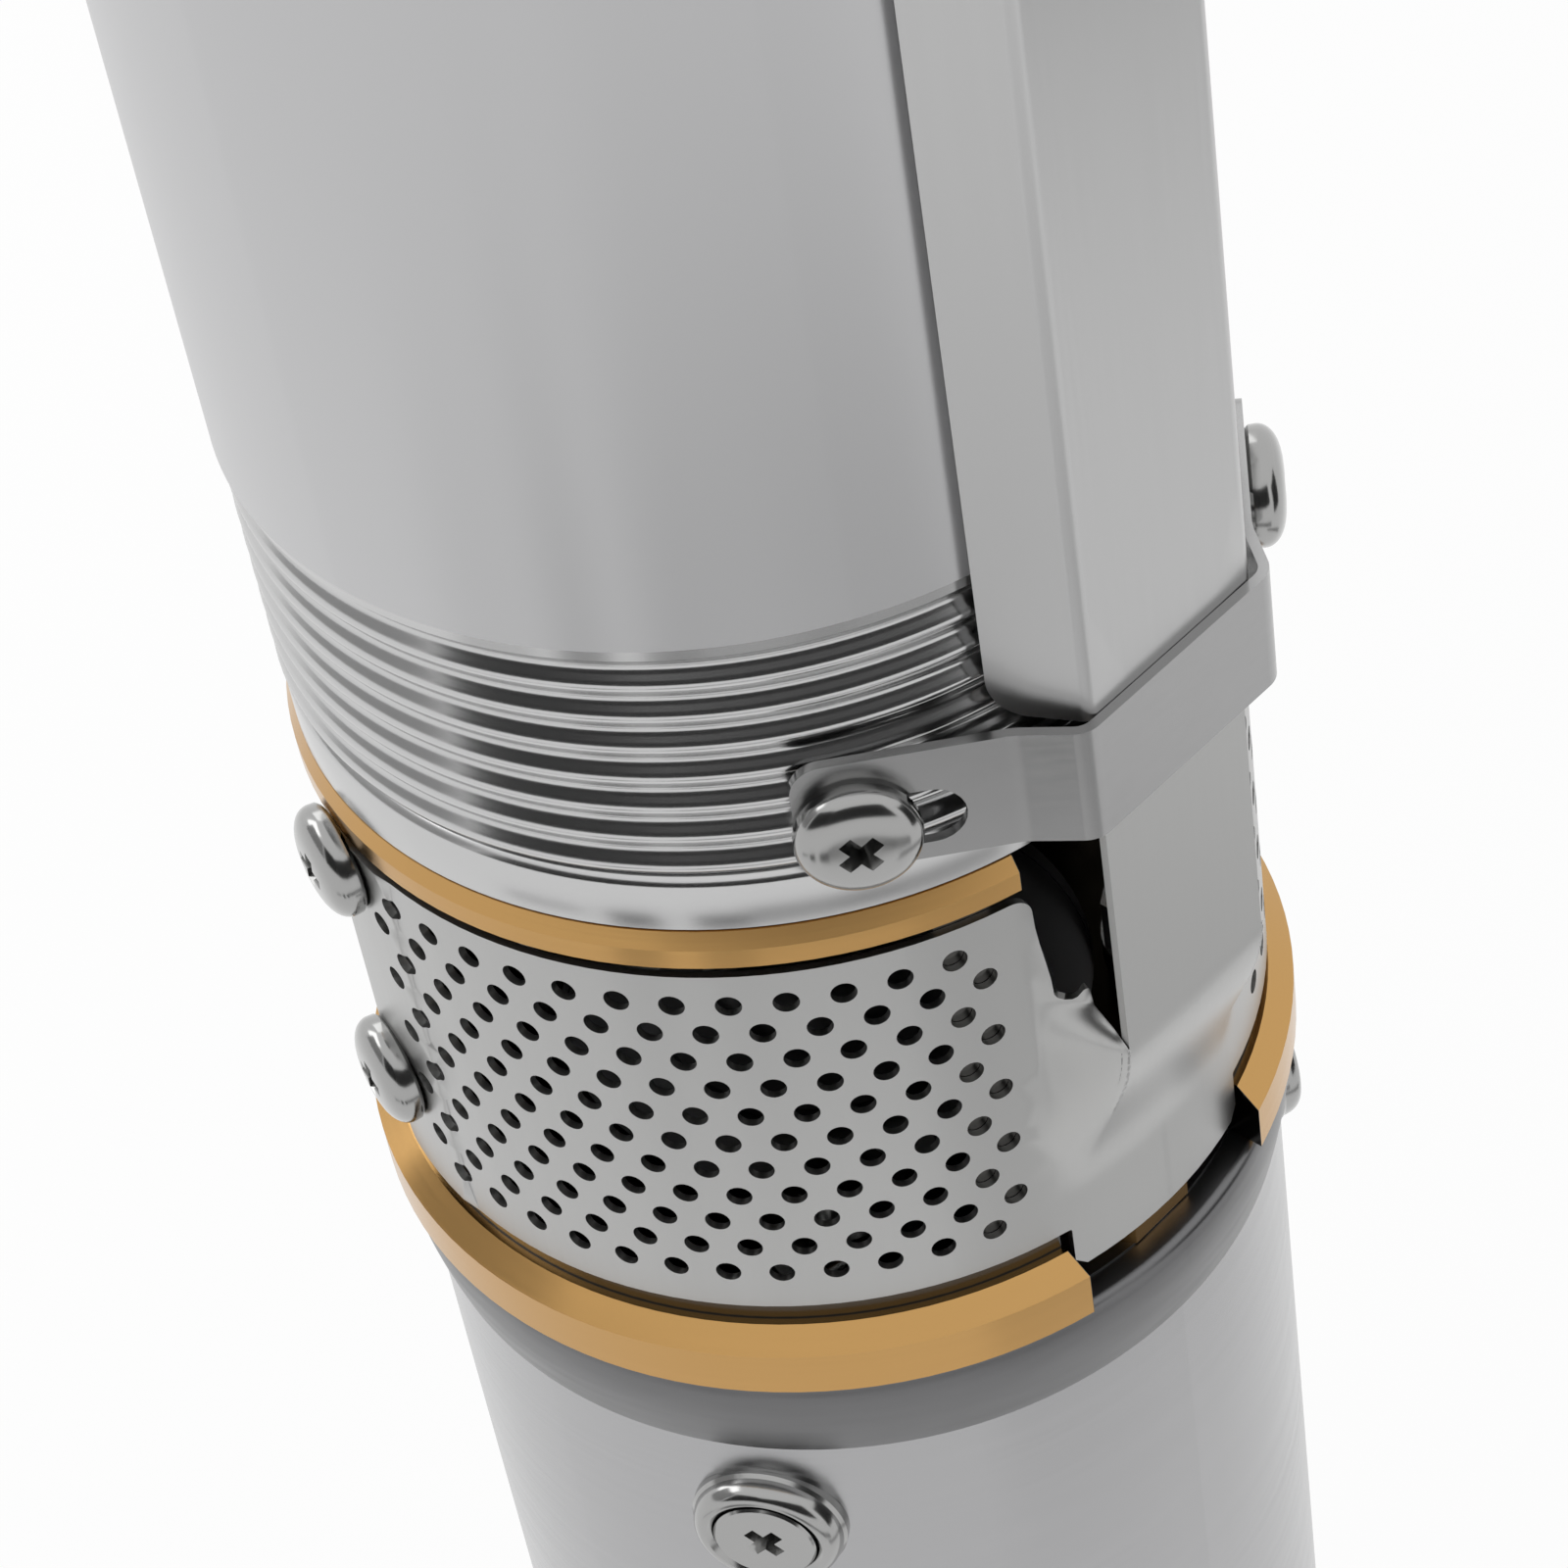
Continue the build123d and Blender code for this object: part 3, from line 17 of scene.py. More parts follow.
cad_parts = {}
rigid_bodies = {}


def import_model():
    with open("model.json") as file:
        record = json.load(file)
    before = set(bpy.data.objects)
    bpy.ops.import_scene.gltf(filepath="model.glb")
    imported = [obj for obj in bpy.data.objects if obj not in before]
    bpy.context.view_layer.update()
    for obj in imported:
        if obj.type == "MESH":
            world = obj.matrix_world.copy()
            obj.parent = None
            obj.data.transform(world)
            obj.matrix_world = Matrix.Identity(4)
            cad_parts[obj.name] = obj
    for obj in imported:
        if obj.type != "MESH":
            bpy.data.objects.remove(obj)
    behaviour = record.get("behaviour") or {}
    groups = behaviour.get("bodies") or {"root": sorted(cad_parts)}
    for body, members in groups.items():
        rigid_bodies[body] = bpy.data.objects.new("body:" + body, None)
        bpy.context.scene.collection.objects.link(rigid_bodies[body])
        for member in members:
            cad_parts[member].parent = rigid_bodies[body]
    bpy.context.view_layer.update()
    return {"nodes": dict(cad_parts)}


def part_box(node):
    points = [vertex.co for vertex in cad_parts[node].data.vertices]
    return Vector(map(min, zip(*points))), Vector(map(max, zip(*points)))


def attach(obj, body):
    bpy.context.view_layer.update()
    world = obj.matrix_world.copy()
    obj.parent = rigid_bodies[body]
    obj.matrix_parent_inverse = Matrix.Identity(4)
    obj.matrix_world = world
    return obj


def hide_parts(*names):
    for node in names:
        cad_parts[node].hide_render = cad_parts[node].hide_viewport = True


bl_info = {
    "name": "Borehole Pump",
    "version": (1, 0, 0),
    "blender": (4, 5, 0),
    "location": "3D View > Sidebar > Pump",
    "description": "Builds the sheets, screws, finishes and studio of a borehole submersible pump",
    "category": "Add Mesh",
}

MM = 0.001

for spare in list(bpy.data.objects):
    bpy.data.objects.remove(spare)
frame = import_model()


def linear(code):
    """Linear colour of an sRGB hex value."""
    parts = [int(code[i : i + 2], 16) / 255 for i in (1, 3, 5)]
    return tuple(p / 12.92 if p <= 0.04045 else ((p + 0.055) / 1.055) ** 2.4 for p in parts)


def length(name, description, size):
    """Length setting, its default given in millimetres."""
    return FloatProperty(name=name, description=description, default=size * MM, min=0, unit="LENGTH", precision=5)


def arc(name, description, degrees):
    """Angle setting, its default given in degrees."""
    return FloatProperty(name=name, description=description, default=radians(degrees), subtype="ANGLE")


def tint(name, description, code):
    """Colour setting, its default given as an sRGB hex value."""
    return FloatVectorProperty(
        name=name, description=description, default=linear(code), min=0, max=1, size=3, subtype="COLOR"
    )


class PumpColours(PropertyGroup):
    """Colours of the finishes."""

    sleeve: tint("Sleeve", "Satin drawn stainless of the pump sleeve", "#C4C4C5")
    thread: tint("Rolled thread", "Bright rolled stainless of the sleeve's ribs", "#C6C6C6")
    sheet: tint("Strainer sheet", "Rolled stainless sheet of the strainer", "#B9B9B8")
    guard: tint("Guard sheet", "Ground stainless sheet of the cable guard", "#C4C4C4")
    strap: tint("Strap strip", "Rolled stainless strip of the straps", "#A6A6A6")
    motor: tint("Motor tube", "Turned and polished stainless of the motor tube", "#ADADAE")
    screw: tint("Screws", "Tumbled stainless of screws and washers", "#A6A6A5")
    brass: tint("Brass", "Turned cast brass of the housings", "#C0975E")
    dark: tint("Motor head", "Dull grey casting of the motor's ends", "#747475")


class PumpSleeve(PropertyGroup):
    """Sizes of the pump sleeve."""

    band: length("Band height", "Plain band at the end of the sleeve", 6.3)
    band_inset: length("Band inset", "Step from the sleeve's surface down to the band", 0.7)
    rib_pitch: length("Rib pitch", "Distance from rib to rib of the rolled thread", 3.6)
    rib_depth: length("Rib depth", "Depth of the rolled thread", 0.9)
    rib_inset: length("Rib inset", "Step from the sleeve's surface down to the ribs' crests", 0.5)
    rib_count: IntProperty(name="Ribs", description="Ribs at each end of the sleeve", default=7, min=1, max=12)
    taper: length("Taper", "Height from the last rib to the sleeve's full radius", 1.8)
    bore: length("Bore radius", "Radius of the bore under the rolled thread", 43.8)


class PumpStrainer(PropertyGroup):
    """Sizes of the strainer's two sheets."""

    sheet: length("Sheet", "Thickness of the sheet", 0.8)
    hole: length("Hole diameter", "Diameter of the punched holes", 2.5)
    row_pitch: length("Row pitch", "Height from one row of holes to the next", 3.75)
    rows: IntProperty(name="Rows", description="Rows of holes", default=11, min=1, max=20)
    step: arc("Hole step", "Angle from hole to hole along a row", 6.54)
    panel: arc("Panel start", "Angle from the cable to the first holes", 22.5)
    front_end: arc("Front end", "Angle at which the front sheet ends", 113)
    rear_end: arc("Rear end", "Angle at which the rear sheet begins", 97.4)
    tongue: length("Tongue face", "Flat face of the tongue from the axis", 52)


class PumpGuard(PropertyGroup):
    """Sizes of the cable guard and its straps."""

    sheet: length("Guard sheet", "Thickness of the guard", 1.0)
    half_width: length("Half width", "Half the width of the guard's face", 10.9)
    base: length("Half base", "Half the width of the guard at the sleeve", 15)
    corner: length("Corner", "Inner radius of the guard's bends", 0.6)
    strap_sheet: length("Strap sheet", "Thickness of the straps", 1.0)
    strap_height: length("Strap height", "Height of a strap", 12.7)
    slot_width: length("Slot width", "Width of the slots in the straps' tabs", 6.2)


class PumpHead(PropertyGroup):
    """Sizes of the motor head's ring."""

    reach: length("Ring radius", "Radius of the ring just under the suction housing", 47.7)


class PumpScrews(PropertyGroup):
    """Sizes of the screws and finishing washers."""

    pan_radius: length("Pan head radius", "Radius of the pan heads", 5.75)
    pan_height: length("Pan head height", "Height of the pan heads", 3.4)
    recess: length("Recess", "Tip to tip width of the cross recess", 5.2)
    cup_radius: length("Washer radius", "Radius of the finishing washers", 8.15)
    cup_height: length("Washer height", "Height of the finishing washers", 3.0)
    sunk_radius: length("Sunk head radius", "Radius of the countersunk heads", 5.5)


class PumpStudio(PropertyGroup):
    """Lights and floor of the studio."""

    floor: tint("Floor", "Colour of the floor and the background", "#FFFFFF")
    world: FloatProperty(name="Ambient", description="Level of the light from all round", default=0.8, min=0)
    key: FloatProperty(name="Key lamp", description="Power of the large lamp", default=7, min=0, unit="POWER")
    lens: FloatProperty(
        name="Lens", description="Focal length of the camera", default=101.326, subtype="DISTANCE_CAMERA"
    )


# Finishes


def add_node(tree, kind, values=None, links=None, **settings):
    """Adds a node with its settings, its inputs' values and the outputs linked to its inputs."""
    made = tree.nodes.new(kind)
    for name, value in settings.items():
        setattr(made, name, value)
    for socket, value in (values or {}).items():
        made.inputs[socket].default_value = value
    for socket, source in (links or {}).items():
        tree.links.new(source, made.inputs[socket])
    return made


def maths(tree, operation, *inputs, **settings):
    """Output of a math node whose inputs are numbers or other nodes' outputs."""
    made = add_node(tree, "ShaderNodeMath", operation=operation, **settings)
    for socket, value in zip(made.inputs, inputs):
        if isinstance(value, bpy.types.NodeSocket):
            tree.links.new(value, socket)
        else:
            socket.default_value = value
    return made.outputs[0]


def bare_tree(owner):
    """Emptied node tree of a material or world."""
    owner.use_nodes = True
    owner.node_tree.nodes.clear()
    return owner.node_tree


def metal(name, colour, roughness, metallic=1.0, lines=None):
    """Material of one metal or plastic; lines gives the stretch, depth and spread of its surface's lines."""
    made = bpy.data.materials.new(name)
    tree = bare_tree(made)
    values = {"Base Color": (*colour, 1), "Metallic": metallic, "Roughness": roughness}
    shader = add_node(tree, "ShaderNodeBsdfPrincipled", values)
    add_node(tree, "ShaderNodeOutputMaterial", links={"Surface": shader.outputs["BSDF"]})
    if lines:
        brushed(tree, shader, roughness, *lines)
    return made


def brushed(tree, shader, roughness, stretch, depth, spread):
    """Lines of a brushed or turned surface: stretch gives lines per metre along x, y and z."""
    place = add_node(tree, "ShaderNodeTexCoord")
    scaled = add_node(tree, "ShaderNodeMapping", {"Scale": stretch}, {"Vector": place.outputs["Object"]})
    lines = add_node(tree, "ShaderNodeTexNoise", {"Scale": 1.0, "Detail": 3.0}, {"Vector": scaled.outputs["Vector"]})
    limits = {"To Min": roughness - spread, "To Max": roughness + spread}
    dullness = add_node(tree, "ShaderNodeMapRange", limits, {"Value": lines.outputs["Fac"]})
    tree.links.new(dullness.outputs["Result"], shader.inputs["Roughness"])
    raised = add_node(tree, "ShaderNodeBump", {"Strength": 0.3, "Distance": depth}, {"Height": lines.outputs["Fac"]})
    tree.links.new(raised.outputs["Normal"], shader.inputs["Normal"])


def painted_shade_by_reach(made, rim):
    """Paints shade into a casting by its distance from the axis: painted black shade inside, painted grey shade at
    the seats and notch, then its rim's own colour.
    """
    inner, outer = 41 * MM, 46 * MM  # where the black ends and the rim begins
    notch_reach, notch_half_width, notch_level = 30 * MM, 13.3 * MM, 0.5
    # grey is painted shade at the seats and in the cable notch; the darkest mark is painted black shade
    grey = "#5A5957"
    tree = made.node_tree
    place = add_node(tree, "ShaderNodeTexCoord")
    parts = add_node(tree, "ShaderNodeSeparateXYZ", links={"Vector": place.outputs["Object"]}).outputs
    across = add_node(tree, "ShaderNodeCombineXYZ", links={"X": parts["X"], "Y": parts["Y"]})
    reach = add_node(tree, "ShaderNodeVectorMath", links={"Vector": across.outputs["Vector"]}, operation="LENGTH")
    limits = {"From Min": inner, "From Max": outer}
    steps = add_node(tree, "ShaderNodeMapRange", limits, {"Value": reach.outputs["Value"]})
    ahead = maths(tree, "GREATER_THAN", parts["X"], notch_reach)
    beside = maths(tree, "COMPARE", parts["Y"], 0.0, notch_half_width)
    notch = maths(tree, "MULTIPLY", ahead, beside)
    kept = maths(tree, "MULTIPLY_ADD", notch, notch_level - 1, 1.0)
    level = maths(tree, "MULTIPLY", steps.outputs["Result"], kept)
    ramp = add_node(tree, "ShaderNodeValToRGB", links={"Fac": level})
    marks = ramp.color_ramp.elements
    marks[0].color, marks[0].position = (*linear("#17140F"), 1), 0.16
    marks[1].color, marks[1].position = (*rim, 1), 0.87
    for position in (0.2, 0.84):
        marks.new(position).color = (*linear(grey), 1)
    tree.links.new(ramp.outputs["Color"], tree.nodes["Principled BSDF"].inputs["Base Color"])


def make_finishes(look):
    """One material for each of the record's slots, and the four that only the scene uses."""
    made = {}
    # Satin drawn stainless: an even soft grey without a sharp reflection
    made["sleeve_steel"] = metal("stainless_tube_satin_drawn", look.sleeve, 0.31)
    # Cold rolled thread: the rolls burnish the crests, so it mirrors its surroundings
    made["thread"] = metal("stainless_thread_cold_rolled", look.thread, 0.2)
    # Cold rolled sheet: a cloudy, half dull mirror with fine lines up the sheet, drawn 0.5 mm apart
    made["strainer_steel"] = metal(
        "stainless_sheet_cold_rolled", look.sheet, 0.34, lines=((2000, 2000, 60), 0.0015 * MM, 0.03)
    )
    # The sheet's inner side, painted dark as painted shade, so the holes look black
    made["inner_painted_shade"] = metal("stainless_sheet_inner_painted_shade", linear("#2B2A29"), 0.6)
    # Ground sheet: dull along and across, with lines 0.5 mm apart
    made["guard_steel"] = metal(
        "stainless_sheet_ground", look.guard, 0.32, lines=((2000, 2000, 40), 0.0015 * MM, 0.03)
    )
    # Cold rolled strip: smoother than the ground sheet, so its bends catch dark and bright streaks
    made["strap_steel"] = metal(
        "stainless_strip_cold_rolled", look.strap, 0.24, lines=((300, 300, 2000), 0.0015 * MM, 0.04)
    )
    # Turned and polished tube: a soft mirror with fine rings, drawn 0.6 mm apart
    made["motor_steel"] = metal(
        "stainless_tube_turned_polished", look.motor, 0.24, lines=((30, 30, 1600), 0.003 * MM, 0.05)
    )
    # Tumbled screws: rounded, bright and nearly a mirror
    made["screw_steel"] = metal("stainless_fastener_tumbled", look.screw, 0.17)
    # Dull casting: grey and half dull, a little uneven, its grain drawn 1.5 mm wide
    made["dark_steel"] = metal("steel_casting_turned", look.dark, 0.34, lines=((90, 90, 700), 0.01 * MM, 0.07))
    # Turned brass: warm, with fine rings from the lathe, drawn 0.5 mm apart
    made["cast_brass"] = metal("brass_casting_turned", look.brass, 0.2, lines=((40, 40, 2000), 0.003 * MM, 0.05))
    # The same brass with painted shade inside its turned rims: painted grey shade at the seats, nearly black painted
    # shade further in
    made["housing_brass_painted_shade"] = metal(
        "brass_casting_turned_painted_shade_inside", look.brass, 0.2, lines=((40, 40, 2000), 0.003 * MM, 0.05)
    )
    painted_shade_by_reach(made["housing_brass_painted_shade"], look.brass)
    # Pressed sheet of the bowls: half dull, without lines
    made["stage_steel"] = metal("stainless_sheet_pressed", look.guard, 0.35)
    # Moulded plastic of the impellers: pale, glossy and even
    made["stage_plastic"] = metal("polyphenylene_plastic_moulded", linear("#D8D4C6"), 0.38, 0.0)
    # Ground shaft: smooth and nearly a mirror
    made["shaft_steel"] = metal("stainless_shaft_ground", look.screw, 0.2)
    # Moulded rubber: black and dull
    made["rubber"] = metal("nitrile_rubber_moulded", linear("#1C1C1D"), 0.62, 0.0)
    # Turned carbon: black with a soft sheen
    made["carbon"] = metal("carbon_bush_turned", linear("#2B2B2D"), 0.4, 0.0)
    # Lapped ceramic: cream white and smooth
    made["seal_ceramic"] = metal("alumina_ceramic_lapped", linear("#E9E4D6"), 0.25, 0.0)
    # Punched laminations: bluish grey and half dull
    made["core_steel"] = metal("silicon_steel_lamination_punched", linear("#6E7276"), 0.5)
    # Enamelled wire: red copper under a clear coat
    made["copper"] = metal("copper_wire_enamelled", linear("#B4622F"), 0.32)
    # Painted cast iron: dark, half glossy paint over a fine sand grain of 0.8 mm
    made["cast_iron"] = metal(
        "cast_iron_painted", linear("#2E3134"), 0.45, 0.0, lines=((1250, 1250, 1250), 0.03 * MM, 0.06)
    )
    return made


def finish_of(name):
    """Material made for a slot; the finishes are made first."""
    if name not in finishes:
        raise RuntimeError(f"no finish is made for {name}; run the finishes first")
    return finishes[name]


finishes = {}


# Meshes


def linked(name, data):
    """Object of a mesh, lamp or camera, linked to the scene."""
    made = bpy.data.objects.new(name, data)
    bpy.context.scene.collection.objects.link(made)
    return made


def put(name, mesh, finish_names, slot, body, *stands_for):
    """Puts a finished mesh on a body with its finishes and hides the solids it stands for; slot is not used."""
    made = linked(name, mesh)
    for finish in finish_names:
        mesh.materials.append(finish_of(finish))
    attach(made, body)
    if stands_for:
        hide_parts(*stands_for)


def turned(profile, segments, materials=None):
    """Closed turned mesh in a bmesh, about +Z, from its section's corners (radius, height)."""
    made = bmesh.new()
    rings = []
    for radius, height in profile:
        if radius < 1e-9:
            rings.append([made.verts.new((0, 0, height))])
            continue
        turns = (2 * pi * k / segments for k in range(segments))
        rings.append([made.verts.new((radius * cos(t), radius * sin(t), height)) for t in turns])
    closed = len(rings[0]) > 1
    for i in range(len(rings) if closed else len(rings) - 1):
        first, second = rings[i], rings[(i + 1) % len(rings)]
        for k in range(segments):
            n = (k + 1) % segments
            corners = [first[k % len(first)], first[n % len(first)], second[n % len(second)], second[k % len(second)]]
            corners = list(dict.fromkeys(corners))
            face = made.faces.new(corners)
            face.smooth = True
            if materials:
                face.material_index = materials[i]
    bmesh.ops.recalc_face_normals(made, faces=made.faces)
    return made


def mesh_of(name, source, angle=32):
    """Mesh from a bmesh, smooth but for edges sharper than an angle in degrees."""
    mesh = bpy.data.meshes.new(name)
    source.to_mesh(mesh)
    source.free()
    mesh.set_sharp_from_angle(angle=radians(angle))
    return mesh


def cut(body, cutter):
    """Bmesh of one bmesh cut by another; both are used up."""
    objects = []
    for part in (body, cutter):
        mesh = bpy.data.meshes.new("cut")
        part.to_mesh(mesh)
        part.free()
        objects.append(linked("cut", mesh))
    step = objects[0].modifiers.new("cut", "BOOLEAN")
    step.operation = "DIFFERENCE"
    step.solver = "EXACT"
    step.object = objects[1]
    bpy.context.view_layer.update()
    seen = objects[0].evaluated_get(bpy.context.evaluated_depsgraph_get())
    made = bmesh.new()
    made.from_mesh(seen.to_mesh())
    seen.to_mesh_clear()
    for spent in objects:
        mesh = spent.data
        bpy.data.objects.remove(spent)
        bpy.data.meshes.remove(mesh)
    for face in made.faces:
        face.smooth = True
    return made


def gathered(parts):
    """One bmesh from copies of several (bmesh, matrix) pairs."""
    made = bmesh.new()
    for part, matrix in parts:
        mesh = bpy.data.meshes.new("part")
        part.to_mesh(mesh)
        mesh.transform(matrix)
        made.from_mesh(mesh)
        bpy.data.meshes.remove(mesh)
    return made


def crossing(loops, points):
    """Whether each point lies inside the loops by the even and odd rule."""
    inside = np.zeros(len(points), bool)
    x, y = points[:, 0], points[:, 1]
    for loop in loops:
        for (ax, ay), (bx, by) in zip(loop, np.roll(loop, -1, axis=0)):
            if ay == by:
                continue
            spans = (ay > y) != (by > y)
            inside ^= spans & (x < (bx - ax) * (y - ay) / (by - ay) + ax)
    return inside


def pressed(name, loops, lattice, place, thickness, inner=False):
    """Mesh of a pressed sheet.

    The first loop is the flat sheet's outline and the others are its holes. The lattice gives points
    between them. place bends flat (u, v) arrays to points, with u to the left of an outward look and v up.
    inner gives the inner side the second material.
    """
    loops = [np.array(loop, float) for loop in loops]
    rims = np.concatenate(loops)
    edges, start = [], 0
    for loop in loops:
        edges += [(start + i, start + (i + 1) % len(loop)) for i in range(len(loop))]
        start += len(loop)
    lattice = np.array(lattice, float).reshape(-1, 2)
    if len(lattice):
        lattice = lattice[crossing(loops, lattice)]
        apart = np.full(len(lattice), True)
        for (ax, ay), (bx, by) in [(rims[a], rims[b]) for a, b in edges]:
            along = np.array((bx - ax, by - ay))
            reach = np.clip(((lattice - (ax, ay)) @ along) / (along @ along), 0, 1)
            gap = lattice - (ax, ay) - reach[:, None] * along
            apart &= (gap**2).sum(1) > (0.35 * MM) ** 2
        lattice = lattice[apart]
    flat = np.concatenate([rims, lattice]) * 1000
    found, _, cells, _, _, _ = delaunay_2d_cdt([Vector(p) for p in flat], edges, [], 0, 1e-5)
    flat = np.array([tuple(p) for p in found]) / 1000
    cells = np.array([tuple(c) for c in cells])
    cells = cells[crossing(loops, flat[cells].mean(axis=1))]

    step = 0.01 * MM
    u, v = flat[:, 0], flat[:, 1]
    points = place(u, v)
    across = place(u + step, v) - place(u - step, v)
    up = place(u, v + step) - place(u, v - step)
    normals = np.cross(across, up)
    normals /= np.linalg.norm(normals, axis=1)[:, None]

    count = len(flat)
    sides = np.concatenate([cells[:, [0, 1]], cells[:, [1, 2]], cells[:, [2, 0]]])
    keys = {(a, b) for a, b in sides.tolist()}
    border = [(a, b) for a, b in keys if (b, a) not in keys]
    after = {a: b for a, b in border}
    faces = cells.tolist() + (cells[:, ::-1] + count).tolist()
    plain = len(faces)
    faces += [(b, a, a + count, b + count) for a, b in border]
    mesh = bpy.data.meshes.new(name)
    mesh.from_pydata(np.concatenate([points, points - thickness * normals]).tolist(), [], faces)
    mesh.polygons.foreach_set("use_smooth", [True] * len(mesh.polygons))
    if inner:
        mesh.polygons.foreach_set("material_index", [int(len(cells) <= k < plain) for k in range(len(faces))])
    sharp = set()
    for a, b in border:
        sharp |= {(min(a, b), max(a, b)), (min(a, b) + count, max(a, b) + count)}
        c = after[b]
        first, second = flat[b] - flat[a], flat[c] - flat[b]
        turn = first @ second / (np.linalg.norm(first) * np.linalg.norm(second))
        if turn < cos(radians(35)):
            sharp.add((b, b + count))
    pairs = np.empty(2 * len(mesh.edges), int)
    mesh.edges.foreach_get("vertices", pairs)
    pairs = np.sort(pairs.reshape(-1, 2), axis=1)
    mesh.edges.foreach_set("use_edge_sharp", [tuple(p) in sharp for p in pairs.tolist()])
    corner = np.empty(len(mesh.loops), int)
    mesh.loops.foreach_get("vertex_index", corner)
    split = np.concatenate([normals, -normals])[corner]
    split[3 * plain :] = 0
    mesh.normals_split_custom_set(split.tolist())
    return mesh


def round_hole(u, v, radius, sides=20):
    """Round hole in a flat sheet."""
    return [(u + radius * cos(2 * pi * k / sides), v + radius * sin(2 * pi * k / sides)) for k in range(sides)]


def rounded(corners, step=0.4 * MM):
    """Flat outline with its corners (u, v, radius) rounded."""
    points = []
    count = len(corners)
    for i, (u, v, radius) in enumerate(corners):
        here = Vector((u, v))
        back = Vector(corners[i - 1][:2]) - here
        ahead = Vector(corners[(i + 1) % count][:2]) - here
        if radius == 0:
            points.append((u, v))
            continue
        half = back.angle(ahead) / 2
        run = radius / tan(half)
        centre = here + (back.normalized() + ahead.normalized()).normalized() * (radius / sin(half))
        start = here + back.normalized() * run - centre
        stop = here + ahead.normalized() * run - centre
        sweep = atan2(start.cross(stop), start.dot(stop))
        pieces = max(3, int(abs(sweep) * radius / step))
        for k in range(pieces + 1):
            points.append(tuple(centre + Matrix.Rotation(sweep * k / pieces, 2) @ start))
    return points


def divided(points, step):
    """The same outline with points no further apart than a step."""
    made = []
    for (au, av), (bu, bv) in zip(points, points[1:] + points[:1]):
        pieces = max(1, int(hypot(bu - au, bv - av) / step + 0.999))
        made += [(au + (bu - au) * k / pieces, av + (bv - av) * k / pieces) for k in range(pieces)]
    return made


def grid(u_values, v_values):
    """Lattice points of two lists of values."""
    return [(u, v) for u in u_values for v in v_values]


def swept(line):
    """Placing of flat (u, v) arrays on a sheet that follows a bent line and stands upright."""
    return lambda u, v: np.concatenate([line.at(u), v[:, None]], axis=1)


def smooth(value):
    """Soft step from 0 to 1."""
    value = np.clip(value, 0, 1)
    return value * value * (3 - 2 * value)


class BentLine:
    """Plan of a bent sheet: straight runs and round bends, measured along its outer face."""

    def __init__(self, corners, radius):
        """Corners are (x, y) of the outer face, with a radius for each corner between the ends."""
        self.runs = []
        points = [Vector(c) for c in corners]
        start, total = points[0], 0.0
        for i in range(1, len(points) - 1):
            back = (points[i - 1] - points[i]).normalized()
            ahead = (points[i + 1] - points[i]).normalized()
            half = back.angle(ahead) / 2
            reach = radius[i - 1]
            run = reach / tan(half)
            enter = points[i] + back * run
            centre = points[i] + (back + ahead).normalized() * (reach / sin(half))
            leave = points[i] + ahead * run - centre
            sweep = atan2((enter - centre).cross(leave), (enter - centre).dot(leave))
            self.runs.append(("run", total, (enter - start).length, start, -back))
            total += (enter - start).length
            self.runs.append(("bend", total, abs(sweep) * reach, centre, enter - centre, sweep))
            total += abs(sweep) * reach
            start = points[i] + ahead * run
        self.runs.append(("run", total, (points[-1] - start).length, start, (points[-1] - start).normalized()))
        self.total = total + self.runs[-1][2]

    def marks(self, straight, bend):
        """Distances that divide straight runs and bends by their own steps."""
        made = []
        for kind, start, size, *_ in self.runs:
            pieces = max(1, int(size / (straight if kind == "run" else bend) + 0.999))
            made += [start + size * k / pieces for k in range(pieces)]
        return made + [self.total]

    def at(self, u):
        """Points (x, y) at distances along the line."""
        made = np.zeros((len(u), 2))
        for k, run in enumerate(self.runs):
            kind, start, size = run[:3]
            inside = u >= start if k else np.full(len(u), True)
            t = (u - start)[inside]
            if kind == "run":
                made[inside] = np.array(run[3]) + t[:, None] * np.array(run[4])
            else:
                angle = run[5] * t / size
                x, y = run[4]
                c, s = np.cos(angle), np.sin(angle)
                made[inside] = np.array(run[3]) + np.stack([x * c - y * s, x * s + y * c], 1)
        return made


# Places on the pump


def outward(angle, radius, height):
    """Matrix of a place on a round wall: its z looks out, its y is up."""
    along = Vector((-sin(angle), cos(angle), 0))
    out = Vector((cos(angle), sin(angle), 0))
    made = Matrix((along, Vector((0, 0, 1)), out)).transposed().to_4x4()
    made.translation = out * radius + Vector((0, 0, height))
    return made


def tab_plane(size):
    """Radius and angle of the straps' tabs, tangent to the sleeve."""
    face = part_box("pump_sleeve")[1].y + SEAT_GAP + size.strap_sheet
    return face, atan2(STRAP_BEND[1], STRAP_BEND[0]) + acos(face / hypot(*STRAP_BEND))


def on_tab(size, side, reach, height):
    """Matrix of a place on a strap's tab, at a reach from its tangent towards the cable."""
    face, angle = tab_plane(size)
    made = outward(side * angle, face, height)
    made.translation += Vector((cos(side * (angle - pi / 2)), sin(side * (angle - pi / 2)), 0)) * reach
    return made


SEAT_GAP = 0.3 * MM  # between the sleeve and the guard and tabs on it
TUBE_RADIUS = 46.0 * MM
STRAPS = {"guard_strap_lower": "lower", "guard_strap_upper": "upper"}
STRAP_BEND = (48.8 * MM, 16.4 * MM)  # corner of a strap between its tab and its arch
TAB_LENGTH = 5.3 * MM  # from a strap's screw to the end of its tab
STRAP_SCREW_REACH = 5.5 * MM
STRAP_SCREW_DROP = 1.4 * MM
FRONT_RADIUS = 46.0 * MM  # outer faces of the strainer's two sheets
REAR_RADIUS = 45.15 * MM
STRAINER_SCREW_ANGLE = radians(109)
STRAINER_SCREW_DROPS = (3.5 * MM, 32.9 * MM)
SLIT = 9.925  # millimetres from the tongue's middle to the slit beside it


def strap_middle(node):
    """Height of a strap's middle."""
    low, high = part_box(node)
    return (low.z + high.z) / 2


# Pieces


